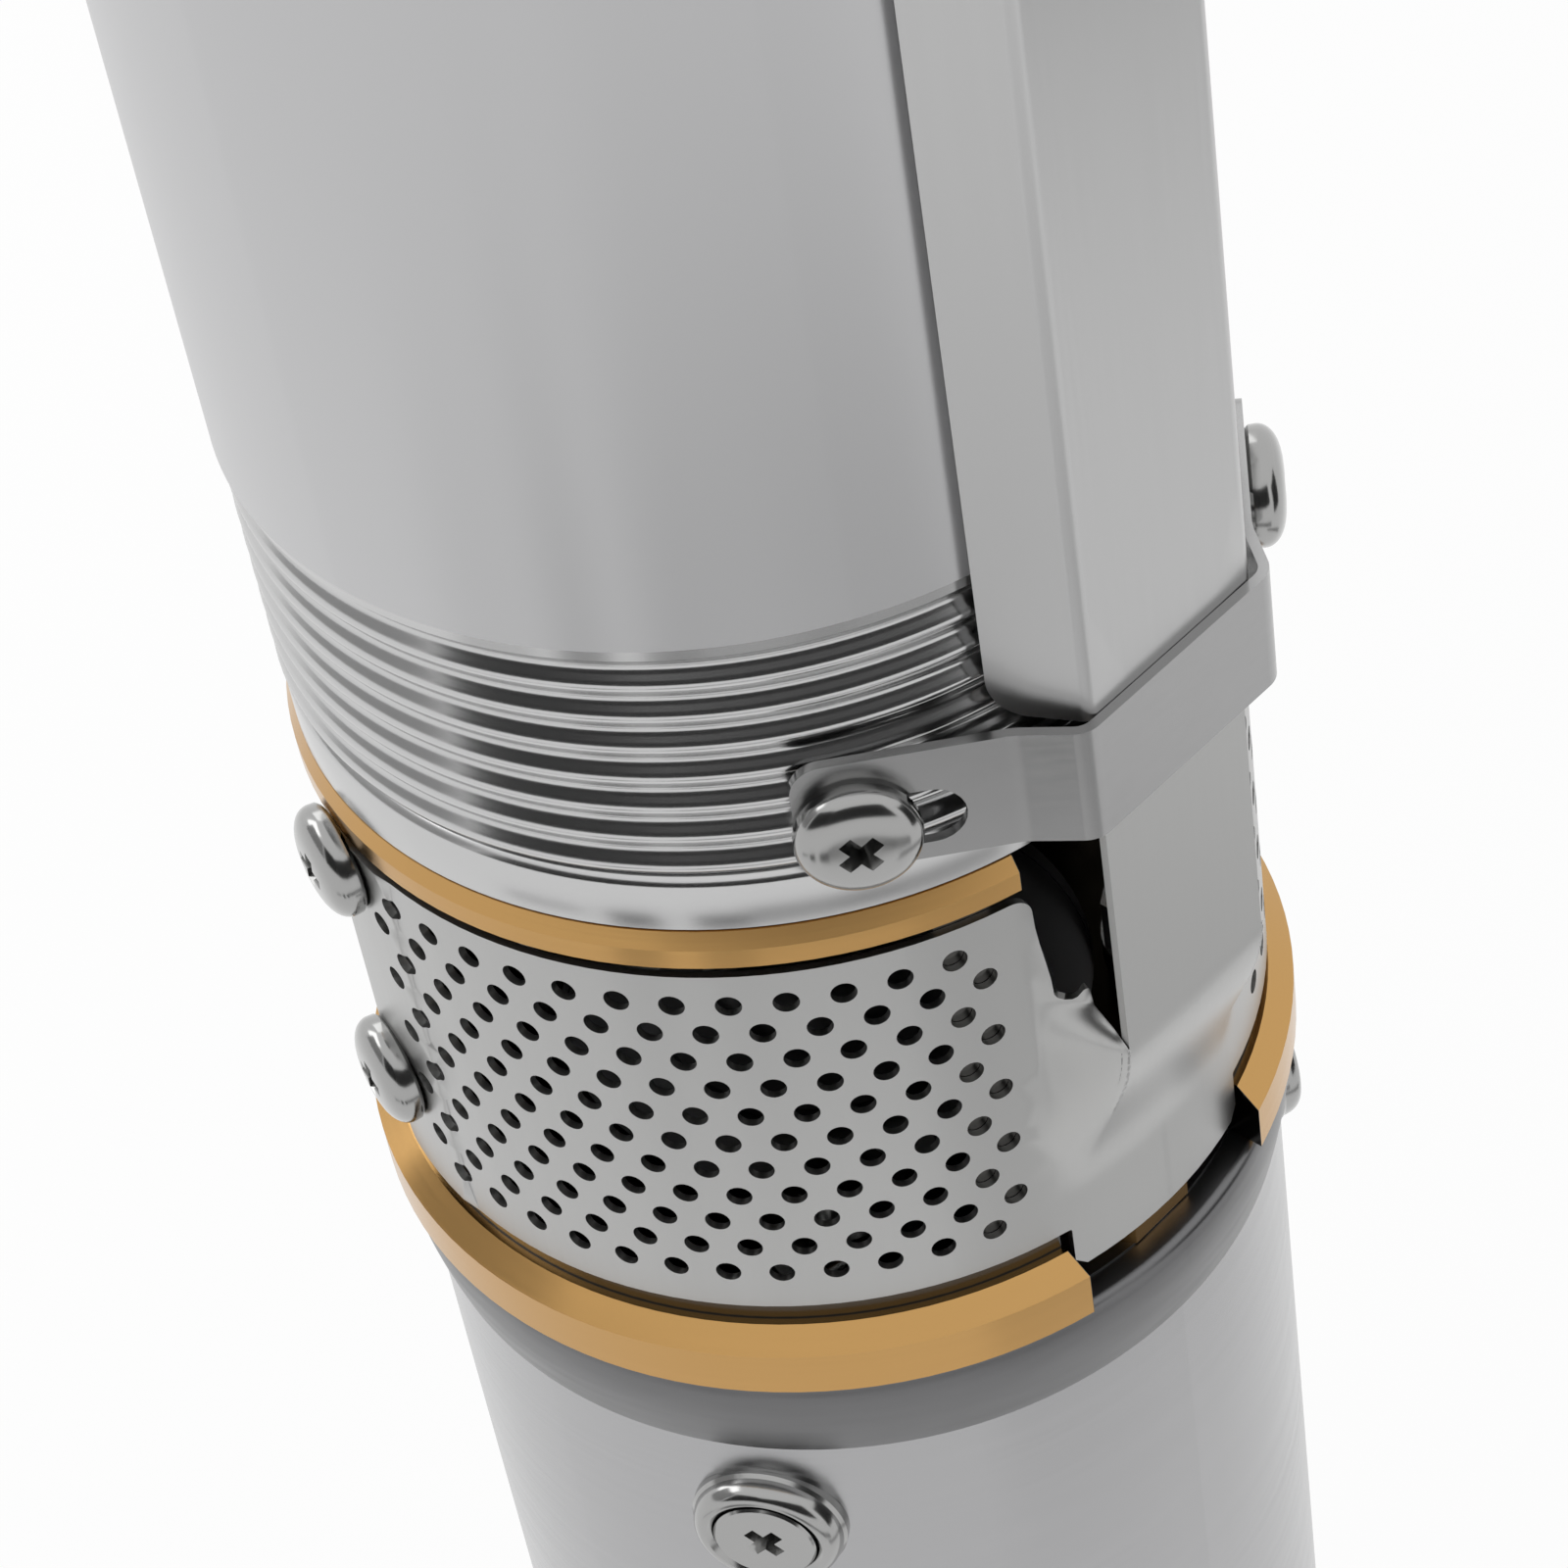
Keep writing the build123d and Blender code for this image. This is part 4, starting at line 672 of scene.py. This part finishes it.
class PUMP_OT_finishes(Operator):
    """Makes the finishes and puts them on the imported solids"""

    bl_idname = "pump.finishes"
    bl_label = "Finishes"

    def execute(self, context):
        finishes.clear()
        finishes.update(make_finishes(context.scene.pump_colours))
        for name, node in frame["nodes"].items():
            slot = node.data.materials[0].name
            node.data.materials.clear()
            # The suction housing gets the brass with painted shade inside its rims
            node.data.materials.append(finish_of("housing_brass_painted_shade" if name == "suction_housing" else slot))
        return {"FINISHED"}


class PUMP_OT_sleeve(Operator):
    """Builds the pump sleeve with its rolled ribs"""

    bl_idname = "pump.sleeve"
    bl_label = "Sleeve"

    def execute(self, context):
        size = context.scene.pump_sleeve
        low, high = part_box("pump_sleeve")
        radius = high.y
        crest = radius - size.rib_inset
        middle = crest - size.rib_depth / 2
        band = radius - size.band_inset
        start = low.z + size.band
        end = [(size.bore, low.z), (band - 0.3 * MM, low.z), (band, low.z + 0.3 * MM), (band, start - 0.9 * MM)]
        end += [(band - 0.12 * MM, start - 0.6 * MM), (band - 0.38 * MM, start - 0.25 * MM)]
        samples = 10
        for k in range(samples * size.rib_count + samples // 2 - 1):
            wave = -cos(2 * pi * k / samples)
            end.append((middle + wave * size.rib_depth / 2, start + size.rib_pitch * k / samples))
        top = end[-1][1]
        end += [(crest, top + 0.3 * MM), (crest, top + size.taper - 0.4 * MM)]
        end += [(radius - 0.15 * MM, top + size.taper - 0.1 * MM), (radius, top + size.taper)]
        mirrored = [(r, low.z + high.z - z) for r, z in reversed(end)]
        profile = end + mirrored
        materials = [0 if k == len(end) - 1 else 1 for k in range(len(profile))]
        mesh = mesh_of("sleeve_skin", turned(profile, 160, materials), 40)
        put("sleeve_skin", mesh, ["sleeve_steel", "thread"], "sleeve_steel", "pump", "pump_sleeve")
        return {"FINISHED"}


def hood_reach(size, u, v, low):
    """How far the front sheet is drawn out over the cable at flat places."""
    away = np.abs(u) / MM
    flat = size.tongue / MM - FRONT_RADIUS * np.cos(u / FRONT_RADIUS) / MM
    height = (v - low) / MM
    rise = smooth((height - 4.5) / 24)
    spread = 4.0 + 1.5 * smooth((28 - height) / 14)
    edge = (3.0 + 4.1 * (1 - smooth((height - 28.4) / 4.6))) * (1 - smooth((height - 35) / 8))
    flank = edge * (1 - smooth((away - SLIT) / spread))
    return rise * np.where(away < SLIT, flat, flank) * MM


def screw_hole(u, v):
    """Hole of a strainer screw."""
    return round_hole(u, v, 2.45 * MM, 24)


def panel_holes(size, columns, first_row, screws=()):
    """Staggered holes and the places between them, in columns (number, u), away from screws at (u, v)."""
    holes, free = [], []
    for column, u in columns:
        for row in range(size.rows):
            v = first_row - row * size.row_pitch
            if any(hypot(u - x, v - y) < 4.4 * MM for x, y in screws):
                continue
            if (row + column) % 2:
                holes.append(round_hole(u, v, size.hole / 2))
            else:
                free.append((u, v))
    return holes, free


class PUMP_OT_strainer(Operator):
    """Builds the strainer's two perforated sheets, the front one with its hood and tongue"""

    bl_idname = "pump.strainer"
    bl_label = "Strainer"

    def execute(self, context):
        size = context.scene.pump_strainer
        low, top = (corner.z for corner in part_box("strainer_rear"))
        front_low, front_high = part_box("strainer_front")

        def drawn(u, v):
            angle = u / FRONT_RADIUS
            lapped = FRONT_RADIUS + 0.3 * MM * smooth((np.abs(angle) - size.rear_end) / radians(0.4))
            x = lapped * np.cos(angle) + hood_reach(size, u, v, low)
            return np.stack([x, lapped * np.sin(angle), v], 1)

        first_row = top - 3.8 * MM
        holes, free = [], []
        for side in (-1, 1):
            columns = [(k, side * FRONT_RADIUS * (size.panel + k * size.step / 2)) for k in range(25)]
            found, between = panel_holes(size, columns, first_row)
            screw_u = side * FRONT_RADIUS * STRAINER_SCREW_ANGLE
            holes += found + [screw_hole(screw_u, top - drop) for drop in STRAINER_SCREW_DROPS]
            free += between
        far = FRONT_RADIUS * size.front_end
        outline = [
            (11.4, front_low.z / MM, 0),
            (12.7, front_low.z / MM + 1.3, 0),
            (12.7, low / MM, 0.3),
            (far / MM, low / MM, 1.5),
            (far / MM, top / MM, 1.5),
            (12.6, top / MM, 2.2),
            (12.2, low / MM + 31.3, 0.7),
            (SLIT + 0.05, low / MM + 35.2, 0.3),
            (SLIT + 0.05, low / MM + 28.5, 0),
            (SLIT - 0.05, low / MM + 28.5, 0),
            (SLIT - 0.05, front_high.z / MM, 0.5),
        ]
        half = [(u * MM, v * MM, r * MM) for u, v, r in outline]
        whole = rounded(half + [(-u, v, r) for u, v, r in reversed(half)])
        # Close lattices on the hood and along the slits, wider ones on the tongue, panels, edges and lap
        rows = [low + k * 4 * MM for k in range(1, 12)]
        lattice = grid([k * 0.5 * MM for k in range(-28, 29)], [low + k * 1.2 * MM for k in range(29)])
        lattice += grid(
            [side * (SLIT + k * 0.3) * MM for side in (-1, 1) for k in range(-2, 15)],
            [low + (18 + k * 0.5) * MM for k in range(36)],
        )
        lattice += grid([k * 2.4 * MM for k in range(-4, 5)], [low + (36 + k * 4) * MM for k in range(9)])
        lattice += [p for p in free if abs(p[0]) > 14 * MM]
        lattice += grid([side * (14.5 + k * 1.4) * MM for side in (-1, 1) for k in range(3)], rows)
        lap_angles = (97.3, 97.6, 97.9, 104, 106.5, 109, 111)
        lattice += grid([side * FRONT_RADIUS * radians(a) for side in (-1, 1) for a in lap_angles], rows)
        # The second finish paints shade on the sheets' inner sides, so holes and window read black
        finish_names = ["strainer_steel", "inner_painted_shade"]
        mesh = pressed("strainer_front_sheet", [divided(whole, 2.4 * MM), *holes], lattice, drawn, size.sheet, True)
        put("strainer_front_sheet", mesh, finish_names, "strainer_steel", "pump", "strainer_front")

        def rolled(u, v):
            angle = pi + u / REAR_RADIUS
            return np.stack([REAR_RADIUS * np.cos(angle), REAR_RADIUS * np.sin(angle), v], 1)

        screw_u = REAR_RADIUS * (pi - STRAINER_SCREW_ANGLE)
        screws = [(side * screw_u, top - drop) for side in (-1, 1) for drop in STRAINER_SCREW_DROPS]
        holes, free = [screw_hole(u, v) for u, v in screws], []
        for side in (-1, 1):
            columns = [(k, side * REAR_RADIUS * (pi - size.panel - k * size.step / 2)) for k in range(24, 48)]
            found, between = panel_holes(size, columns, first_row, screws)
            holes += found
            free += between
        far = REAR_RADIUS * (pi - size.rear_end)
        outline = [(-far, low), (far, low), (far, top), (-far, top)]
        lattice = free + grid([0], rows)
        mesh = pressed("strainer_rear_sheet", [divided(outline, 2.4 * MM), *holes], lattice, rolled, size.sheet, True)
        put("strainer_rear_sheet", mesh, finish_names, "strainer_steel", "pump", "strainer_rear")
        return {"FINISHED"}


class PUMP_OT_guard(Operator):
    """Builds the cable guard as a bent channel with rounded feet"""

    bl_idname = "pump.guard"
    bl_label = "Cable guard"

    def execute(self, context):
        size = context.scene.pump_guard
        low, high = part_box("cable_guard")
        front = high.x
        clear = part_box("pump_sleeve")[1].y + SEAT_GAP
        foot = sqrt(clear**2 - (size.base - size.sheet) ** 2) + size.sheet / 2
        line = BentLine(
            [(foot, -size.base), (front, -size.half_width), (front, size.half_width), (foot, size.base)],
            [size.corner + size.sheet] * 2,
        )
        tuck = 8.0 * MM  # height of the narrow tail at the guard's lower end
        middle = line.total / 2
        flat = size.half_width - 1.2 * size.corner
        outline = [
            (middle - flat, low.z, 0),
            (middle + flat, low.z, 0),
            (middle + flat, low.z + tuck, 0),
            (line.total, low.z + tuck, 3.5 * MM),
            (line.total, high.z, 0.8 * MM),
            (0, high.z, 0.8 * MM),
            (0, low.z + tuck, 3.5 * MM),
            (middle - flat, low.z + tuck, 0),
        ]
        marks = line.marks(6 * MM, 0.35 * MM)
        rows = [low.z + tuck + k * 12 * MM for k in range(20)]
        edge = with_marks(divided(rounded(outline), 12 * MM), marks)
        mesh = pressed("guard_channel", [edge], grid(marks, rows), swept(line), size.sheet)
        put("guard_channel", mesh, ["guard_steel"], "guard_steel", "pump", "cable_guard")
        return {"FINISHED"}


def with_marks(points, marks):
    """The same outline with points added where it crosses given distances u."""
    made = []
    for (au, av), (bu, bv) in zip(points, points[1:] + points[:1]):
        made.append((au, av))
        low, high = min(au, bu), max(au, bu)
        crossed = sorted((m for m in marks if low + 1e-6 < m < high - 1e-6), reverse=au > bu)
        made += [(m, av + (bv - av) * (m - au) / (bu - au)) for m in crossed]
    return made


class PUMP_OT_straps(Operator):
    """Builds the two straps that clamp the guard"""

    bl_idname = "pump.straps"
    bl_label = "Straps"

    def execute(self, context):
        size = context.scene.pump_guard
        face, angle = tab_plane(size)
        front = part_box("guard_strap_lower")[1].x
        half_width = 12.6 * MM
        touch = Vector((face * cos(angle), face * sin(angle)))
        toward = Vector((cos(angle + pi / 2), sin(angle + pi / 2)))
        end = touch + toward * (TAB_LENGTH - STRAP_SCREW_REACH)
        corners = [(end.x, -end.y), (STRAP_BEND[0], -STRAP_BEND[1]), (front, -half_width)]
        corners += [(front, half_width), STRAP_BEND, (end.x, end.y)]
        line = BentLine(corners, [7 * MM, 2.8 * MM, 2.8 * MM, 7 * MM])
        slot_reach = 6.6 * MM  # between the centres of a slot's two ends
        for node, word in STRAPS.items():
            middle = strap_middle(node)
            low, high = middle - size.strap_height / 2, middle + size.strap_height / 2
            outline = [(u, v, 3 * MM) for u, v in ((0, low), (line.total, low), (line.total, high), (0, high))]
            marks = line.marks(3 * MM, 0.3 * MM)
            edge = with_marks(divided(rounded(outline), 3 * MM), marks)
            slots = []
            for side in (-1, 1):
                u = line.total / 2 + side * (line.total / 2 - TAB_LENGTH)
                v = middle - STRAP_SCREW_DROP
                r = size.slot_width / 2
                a, b = sorted((u, u - side * slot_reach))
                slot = [(b + r * cos(t), v + r * sin(t)) for t in np.linspace(-pi / 2, pi / 2, 13)]
                slot += [(a + r * cos(t), v + r * sin(t)) for t in np.linspace(pi / 2, 3 * pi / 2, 13)]
                slots.append(slot)
            rows = [low + k * size.strap_height / 4 for k in range(1, 4)]
            mesh = pressed("strap_" + word, [edge, *slots], grid(marks, rows), swept(line), size.strap_sheet)
            put("strap_" + word, mesh, ["strap_steel"], "guard_steel", "pump", node)
        return {"FINISHED"}


def cross_cutter(reach, top, depth):
    """Cutter of a cross recess: its arms narrow and shorten towards its floor."""
    made = bmesh.new()
    rings = []
    for level, arm, width in ((top + 1 * MM, reach / 2, 0.85 * MM), (top - depth, reach / 5, 0.45 * MM)):
        ring = []
        for k in range(4):
            turn_by = Matrix.Rotation(k * pi / 2, 3, "Z")
            for x, y in ((arm, -width), (arm, width), (width, width)):
                ring.append(made.verts.new(turn_by @ Vector((x, y, level))))
        rings.append(ring)
    for k in range(12):
        n = (k + 1) % 12
        made.faces.new((rings[0][k], rings[0][n], rings[1][n], rings[1][k]))
    made.faces.new(rings[0])
    made.faces.new(rings[1])
    bmesh.ops.recalc_face_normals(made, faces=made.faces)
    return made


class PUMP_OT_head_ring(Operator):
    """Builds the tapered ring round the motor head, under the suction housing"""

    bl_idname = "pump.head_ring"
    bl_label = "Motor head ring"

    def execute(self, context):
        wide = context.scene.pump_head.reach
        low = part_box("motor_tube")[1].z
        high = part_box("suction_housing")[0].z - 0.2 * MM
        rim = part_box("motor_tube")[1].y + 0.02 * MM
        boss = rim - 1.48 * MM
        profile = [(rim, low), (rim + 0.25 * MM, low + 0.15 * MM)]
        foot, flare, edge = 0.3 * MM, 9.6 * MM, 1.0 * MM
        for k in range(9):
            t = k / 8
            profile.append((rim + foot + (wide - rim - foot) * sin(t * pi / 2), low + foot + t * flare))
        for k in range(1, 6):
            t = k / 5 * pi / 2
            profile.append((wide - edge * (1 - cos(t)), high - edge + edge * sin(t)))
        profile += [(boss, high), (boss, low + 9.0 * MM), (rim, low + 7.8 * MM)]
        mesh = mesh_of("motor_head_ring", turned(profile, 160), 40)
        put("motor_head_ring", mesh, ["dark_steel"], "dark_steel", "pump")
        return {"FINISHED"}


class PUMP_OT_screws(Operator):
    """Builds the pan head screws of strainer and straps"""

    bl_idname = "pump.screws"
    bl_label = "Pan head screws"

    def execute(self, context):
        size = context.scene.pump_screws
        guard = context.scene.pump_guard
        r, h = size.pan_radius, size.pan_height
        shank = 2.4 * MM
        edge = 1.1 * MM
        profile = [(0, -8 * MM), (shank, -8 * MM), (shank, 0), (r * 0.93, 0), (r * 0.99, 0.35 * MM), (r, edge)]
        for k in range(1, 11):
            t = k / 11
            profile.append((r * cos(t * pi / 2) ** 0.6, edge + (h - edge) * sin(t * pi / 2)))
        profile.append((0, h))
        screw = cut(turned(profile, 56), cross_cutter(size.recess, h, 2.2 * MM))
        seat = FRONT_RADIUS + 0.25 * MM  # just within the outer face where the sheets lap
        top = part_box("strainer_rear")[1].z
        places = [
            outward(side * STRAINER_SCREW_ANGLE, seat, top - drop)
            @ Matrix.Rotation(radians(20 + 35 * side + 300 * drop), 4, "Z")
            for side in (-1, 1)
            for drop in STRAINER_SCREW_DROPS
        ]
        mesh = mesh_of("strainer_screw_heads", gathered([(screw, place) for place in places]))
        put("strainer_screw_heads", mesh, ["screw_steel"], "screw_steel", "pump", "strainer_screws")
        places = [
            on_tab(guard, side, STRAP_SCREW_REACH, strap_middle(node) - STRAP_SCREW_DROP)
            @ Matrix.Rotation(radians(45 + 6 * side), 4, "Z")
            for side in (-1, 1)
            for node in STRAPS
        ]
        mesh = mesh_of("strap_screw_heads", gathered([(screw, place) for place in places]))
        put("strap_screw_heads", mesh, ["screw_steel"], "screw_steel", "pump", "strap_screws")
        screw.free()
        return {"FINISHED"}


class PUMP_OT_tube_screws(Operator):
    """Builds the countersunk screws and their finishing washers round the motor tube"""

    bl_idname = "pump.tube_screws"
    bl_label = "Tube screws and washers"

    def execute(self, context):
        size = context.scene.pump_screws
        low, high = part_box("motor_tube")
        edge = 12.3 * MM  # from a screw to the end of the motor tube
        levels = (low.z + edge, high.z - edge)
        places = [outward(radians(60 + 120 * k), TUBE_RADIUS, level) for level in levels for k in range(3)]
        r, h, s = size.cup_radius, size.cup_height, size.sunk_radius
        cup = [(2.6 * MM, -0.9 * MM), (r, -0.9 * MM), (r, 0.35 * MM), (r - 0.3 * MM, 0.75 * MM)]
        for k in range(1, 8):
            t = k / 8 * pi / 2
            cup.append((r - 0.3 * MM - (r - s - 1.1 * MM) * (1 - cos(t)), 0.75 * MM + (h - 0.75 * MM) * sin(t)))
        cup += [(s + 0.6 * MM, h), (s + 0.1 * MM, h - 0.35 * MM), (2.6 * MM, h - s + 2.4 * MM)]
        washer = turned(cup, 64)
        for vert in washer.verts:
            if vert.co.z < -0.5 * MM:
                vert.co.z = sqrt(TUBE_RADIUS**2 - vert.co.x**2) - TUBE_RADIUS
        mesh = mesh_of("finishing_washers", gathered([(washer, place) for place in places]))
        washer.free()
        put("finishing_washers", mesh, ["screw_steel"], "screw_steel", "pump", "screw_cups")
        profile = [(0, -9 * MM), (2.5 * MM, -9 * MM), (2.5 * MM, h - s + 2.4 * MM), (s - 0.1 * MM, h - 0.25 * MM)]
        profile += [(s - 0.35 * MM, h), (s * 0.6, h), (0, h)]
        screw = cut(turned(profile, 56), cross_cutter(size.recess, h, 2.4 * MM))
        mesh = mesh_of(
            "tube_screw_heads",
            gathered([(screw, p @ Matrix.Rotation(radians(25 + 40 * k), 4, "Z")) for k, p in enumerate(places)]),
        )
        screw.free()
        put("tube_screw_heads", mesh, ["screw_steel"], "screw_steel", "pump", "tube_screws")
        return {"FINISHED"}


class PUMP_OT_studio(Operator):
    """Builds the floor, lamps, cards, background and camera"""

    bl_idname = "pump.studio"
    bl_label = "Studio"

    def execute(self, context):
        size = context.scene.pump_studio
        scene = context.scene
        scene.view_settings.view_transform = "Standard"
        world = bpy.data.worlds.new("studio")
        scene.world = world
        tree = bare_tree(world)
        ambient = add_node(tree, "ShaderNodeBackground", {"Color": (1, 1, 1, 1), "Strength": size.world})
        white = add_node(tree, "ShaderNodeBackground", {"Color": (*size.floor, 1), "Strength": 1.0})
        links = {0: looked_at(tree), 1: ambient.outputs[0], 2: white.outputs[0]}
        mixed = add_node(tree, "ShaderNodeMixShader", links=links)
        add_node(tree, "ShaderNodeOutputWorld", links={"Surface": mixed.outputs[0]})

        made = bpy.data.materials.new("studio_floor_matt_paint")
        tree = bare_tree(made)
        amount = maths(tree, "MULTIPLY", looked_at(tree), 0.86)
        paint = add_node(tree, "ShaderNodeBsdfDiffuse", {"Color": (*[0.9 * c for c in size.floor], 1)})
        glow = add_node(tree, "ShaderNodeEmission", {"Color": (*size.floor, 1), "Strength": 1.0})
        mixed = add_node(tree, "ShaderNodeMixShader", links={0: amount, 1: paint.outputs[0], 2: glow.outputs[0]})
        add_node(tree, "ShaderNodeOutputMaterial", links={"Surface": mixed.outputs[0]})
        floor = sector("floor", 0, 360, 0, 5, 0)
        floor.data.materials.append(made)

        black = card_finish("studio_card_black_felt", 0.03)
        for piece in (
            card("card_right", at(36, 0.9, 0.3), 0.5, 0.6),
            card("card_camera", at(-35, 1.0, 0.715), 1.5, 0.75),
            card("card_left", at(-90, 1.0, 0.725), 0.68, 0.69),
            sector("strip_one", -86.5, -75, 0.44, 0.56),
            sector("strip_two", -67, -55, 0.44, 0.56),
            sector("strip_three", -111, -92, 0.505, 0.54),
            sector("strip_four", -35, -20, 0.5, 0.54),
        ):
            hung(piece, black)
        grey = card_finish("studio_card_grey_paper", 0.4)
        for piece in (
            sector("card_grey", -55, 5, 0.455, 0.62),
            sector("card_low", -18, 60, 0.335, 0.4),
            card("card_far_left", at(-134, 1.0, 0.725), 0.8, 0.65),
        ):
            hung(piece, grey)

        aim = Vector((0, 0, 0.4))
        for name, centre, side, power in (
            ("key", at(-150, 1.5, 1.3), 1.1, size.key),
            ("rim", at(150, 1.5, 1.6), 1.0, size.key * 0.5),
        ):
            lamp = bpy.data.lights.new(name, "AREA")
            lamp.shape = "SQUARE"
            lamp.size = side
            lamp.energy = power
            holder = linked(name, lamp)
            holder.location = centre
            holder.rotation_euler = (Vector(centre) - aim).to_track_quat("Z", "Y").to_euler()

        lens = bpy.data.cameras.new("photo_view")
        lens.lens = size.lens
        lens.sensor_width = 36
        lens.clip_start = 0.01
        view = linked("photo_view", lens)
        right = Vector((0.731057, 0.670029, -0.128909))
        up = Vector((-0.400136, 0.574029, 0.71441))
        back = Vector((0.552673, -0.470694, 0.68775))
        pose = Matrix((right, up, back)).transposed().to_4x4()
        pose.translation = (0.243457, -0.208272, 0.669851)
        view.matrix_world = pose
        scene.camera = view
        return {"FINISHED"}


def looked_at(tree):
    """Output that is 1 for what the camera sees, also by a mirror or through glass, and otherwise 0."""
    path = add_node(tree, "ShaderNodeLightPath").outputs
    either = maths(tree, "ADD", path["Is Camera Ray"], path["Is Glossy Ray"])
    return maths(tree, "ADD", either, path["Is Transmission Ray"], use_clamp=True)


def card_finish(name, level):
    """Dull material of a studio card."""
    made = bpy.data.materials.new(name)
    made.use_nodes = True
    inputs = made.node_tree.nodes["Principled BSDF"].inputs
    inputs["Base Color"].default_value = (level, level, level, 1)
    inputs["Roughness"].default_value = 0.9
    return made


def at(angle, distance, height):
    """Place in the studio at an angle in degrees and a distance from the shaft's axis."""
    return (distance * cos(radians(angle)), distance * sin(radians(angle)), height)


def card(name, centre, width, height):
    """Upright rectangle that faces the shaft's axis."""
    middle = Vector(centre)
    along = Vector((-middle.y, middle.x, 0)).normalized() * width / 2
    up = Vector((0, 0, height / 2))
    mesh = bpy.data.meshes.new(name)
    corners = [middle - along - up, middle - along + up, middle + along + up, middle + along - up]
    mesh.from_pydata([tuple(c) for c in corners], [], [(0, 1, 2, 3)])
    return linked(name, mesh)


def hung(piece, material):
    """Puts a card in the studio: only mirrors see it, so it leaves no shade on the floor."""
    piece.data.materials.append(material)
    piece.visible_camera = False
    piece.visible_shadow = False
    piece.visible_diffuse = False


def sector(name, start, stop, near, far, height=0.5 * MM):
    """Part of a flat ring on the floor, from one angle in degrees to another."""
    angles = [start + (stop - start) * k / 48 for k in range(49)]
    corners = [at(angle, reach, height) for angle in angles for reach in (near, far)]
    mesh = bpy.data.meshes.new(name)
    mesh.from_pydata(corners, [], [(2 * k, 2 * k + 1, 2 * k + 3, 2 * k + 2) for k in range(48)])
    return linked(name, mesh)


class PUMP_PT_panel(Panel):
    """Lists the pump's pieces and their settings"""

    bl_idname = "PUMP_PT_panel"
    bl_label = "Borehole Pump"
    bl_space_type = "VIEW_3D"
    bl_region_type = "UI"
    bl_category = "Pump"

    def draw(self, context):
        for operator, settings in PIECES:
            box = self.layout.box()
            box.operator(operator.bl_idname)
            if settings:
                group = getattr(context.scene, settings)
                for name in group.__annotations__:
                    box.prop(group, name)


SETTINGS = {
    "pump_colours": PumpColours,
    "pump_sleeve": PumpSleeve,
    "pump_strainer": PumpStrainer,
    "pump_guard": PumpGuard,
    "pump_head": PumpHead,
    "pump_screws": PumpScrews,
    "pump_studio": PumpStudio,
}
PIECES = (
    (PUMP_OT_finishes, "pump_colours"),
    (PUMP_OT_sleeve, "pump_sleeve"),
    (PUMP_OT_strainer, "pump_strainer"),
    (PUMP_OT_guard, "pump_guard"),
    (PUMP_OT_straps, None),
    (PUMP_OT_head_ring, "pump_head"),
    (PUMP_OT_screws, "pump_screws"),
    (PUMP_OT_tube_screws, None),
    (PUMP_OT_studio, "pump_studio"),
)
CLASSES = (*SETTINGS.values(), *(operator for operator, _ in PIECES), PUMP_PT_panel)


def register():
    """Registers the classes and puts the settings on the scene."""
    for made in CLASSES:
        bpy.utils.register_class(made)
    for name, made in SETTINGS.items():
        setattr(bpy.types.Scene, name, PointerProperty(type=made))


def unregister():
    """Takes the settings and classes away again."""
    for name in SETTINGS:
        delattr(bpy.types.Scene, name)
    for made in reversed(CLASSES):
        bpy.utils.unregister_class(made)


def main():
    """Builds every piece in order."""
    register()
    for operator, _ in PIECES:
        group, name = operator.bl_idname.split(".")
        getattr(getattr(bpy.ops, group), name)()
    bpy.context.view_layer.update()


if __name__ == "__main__":
    main()
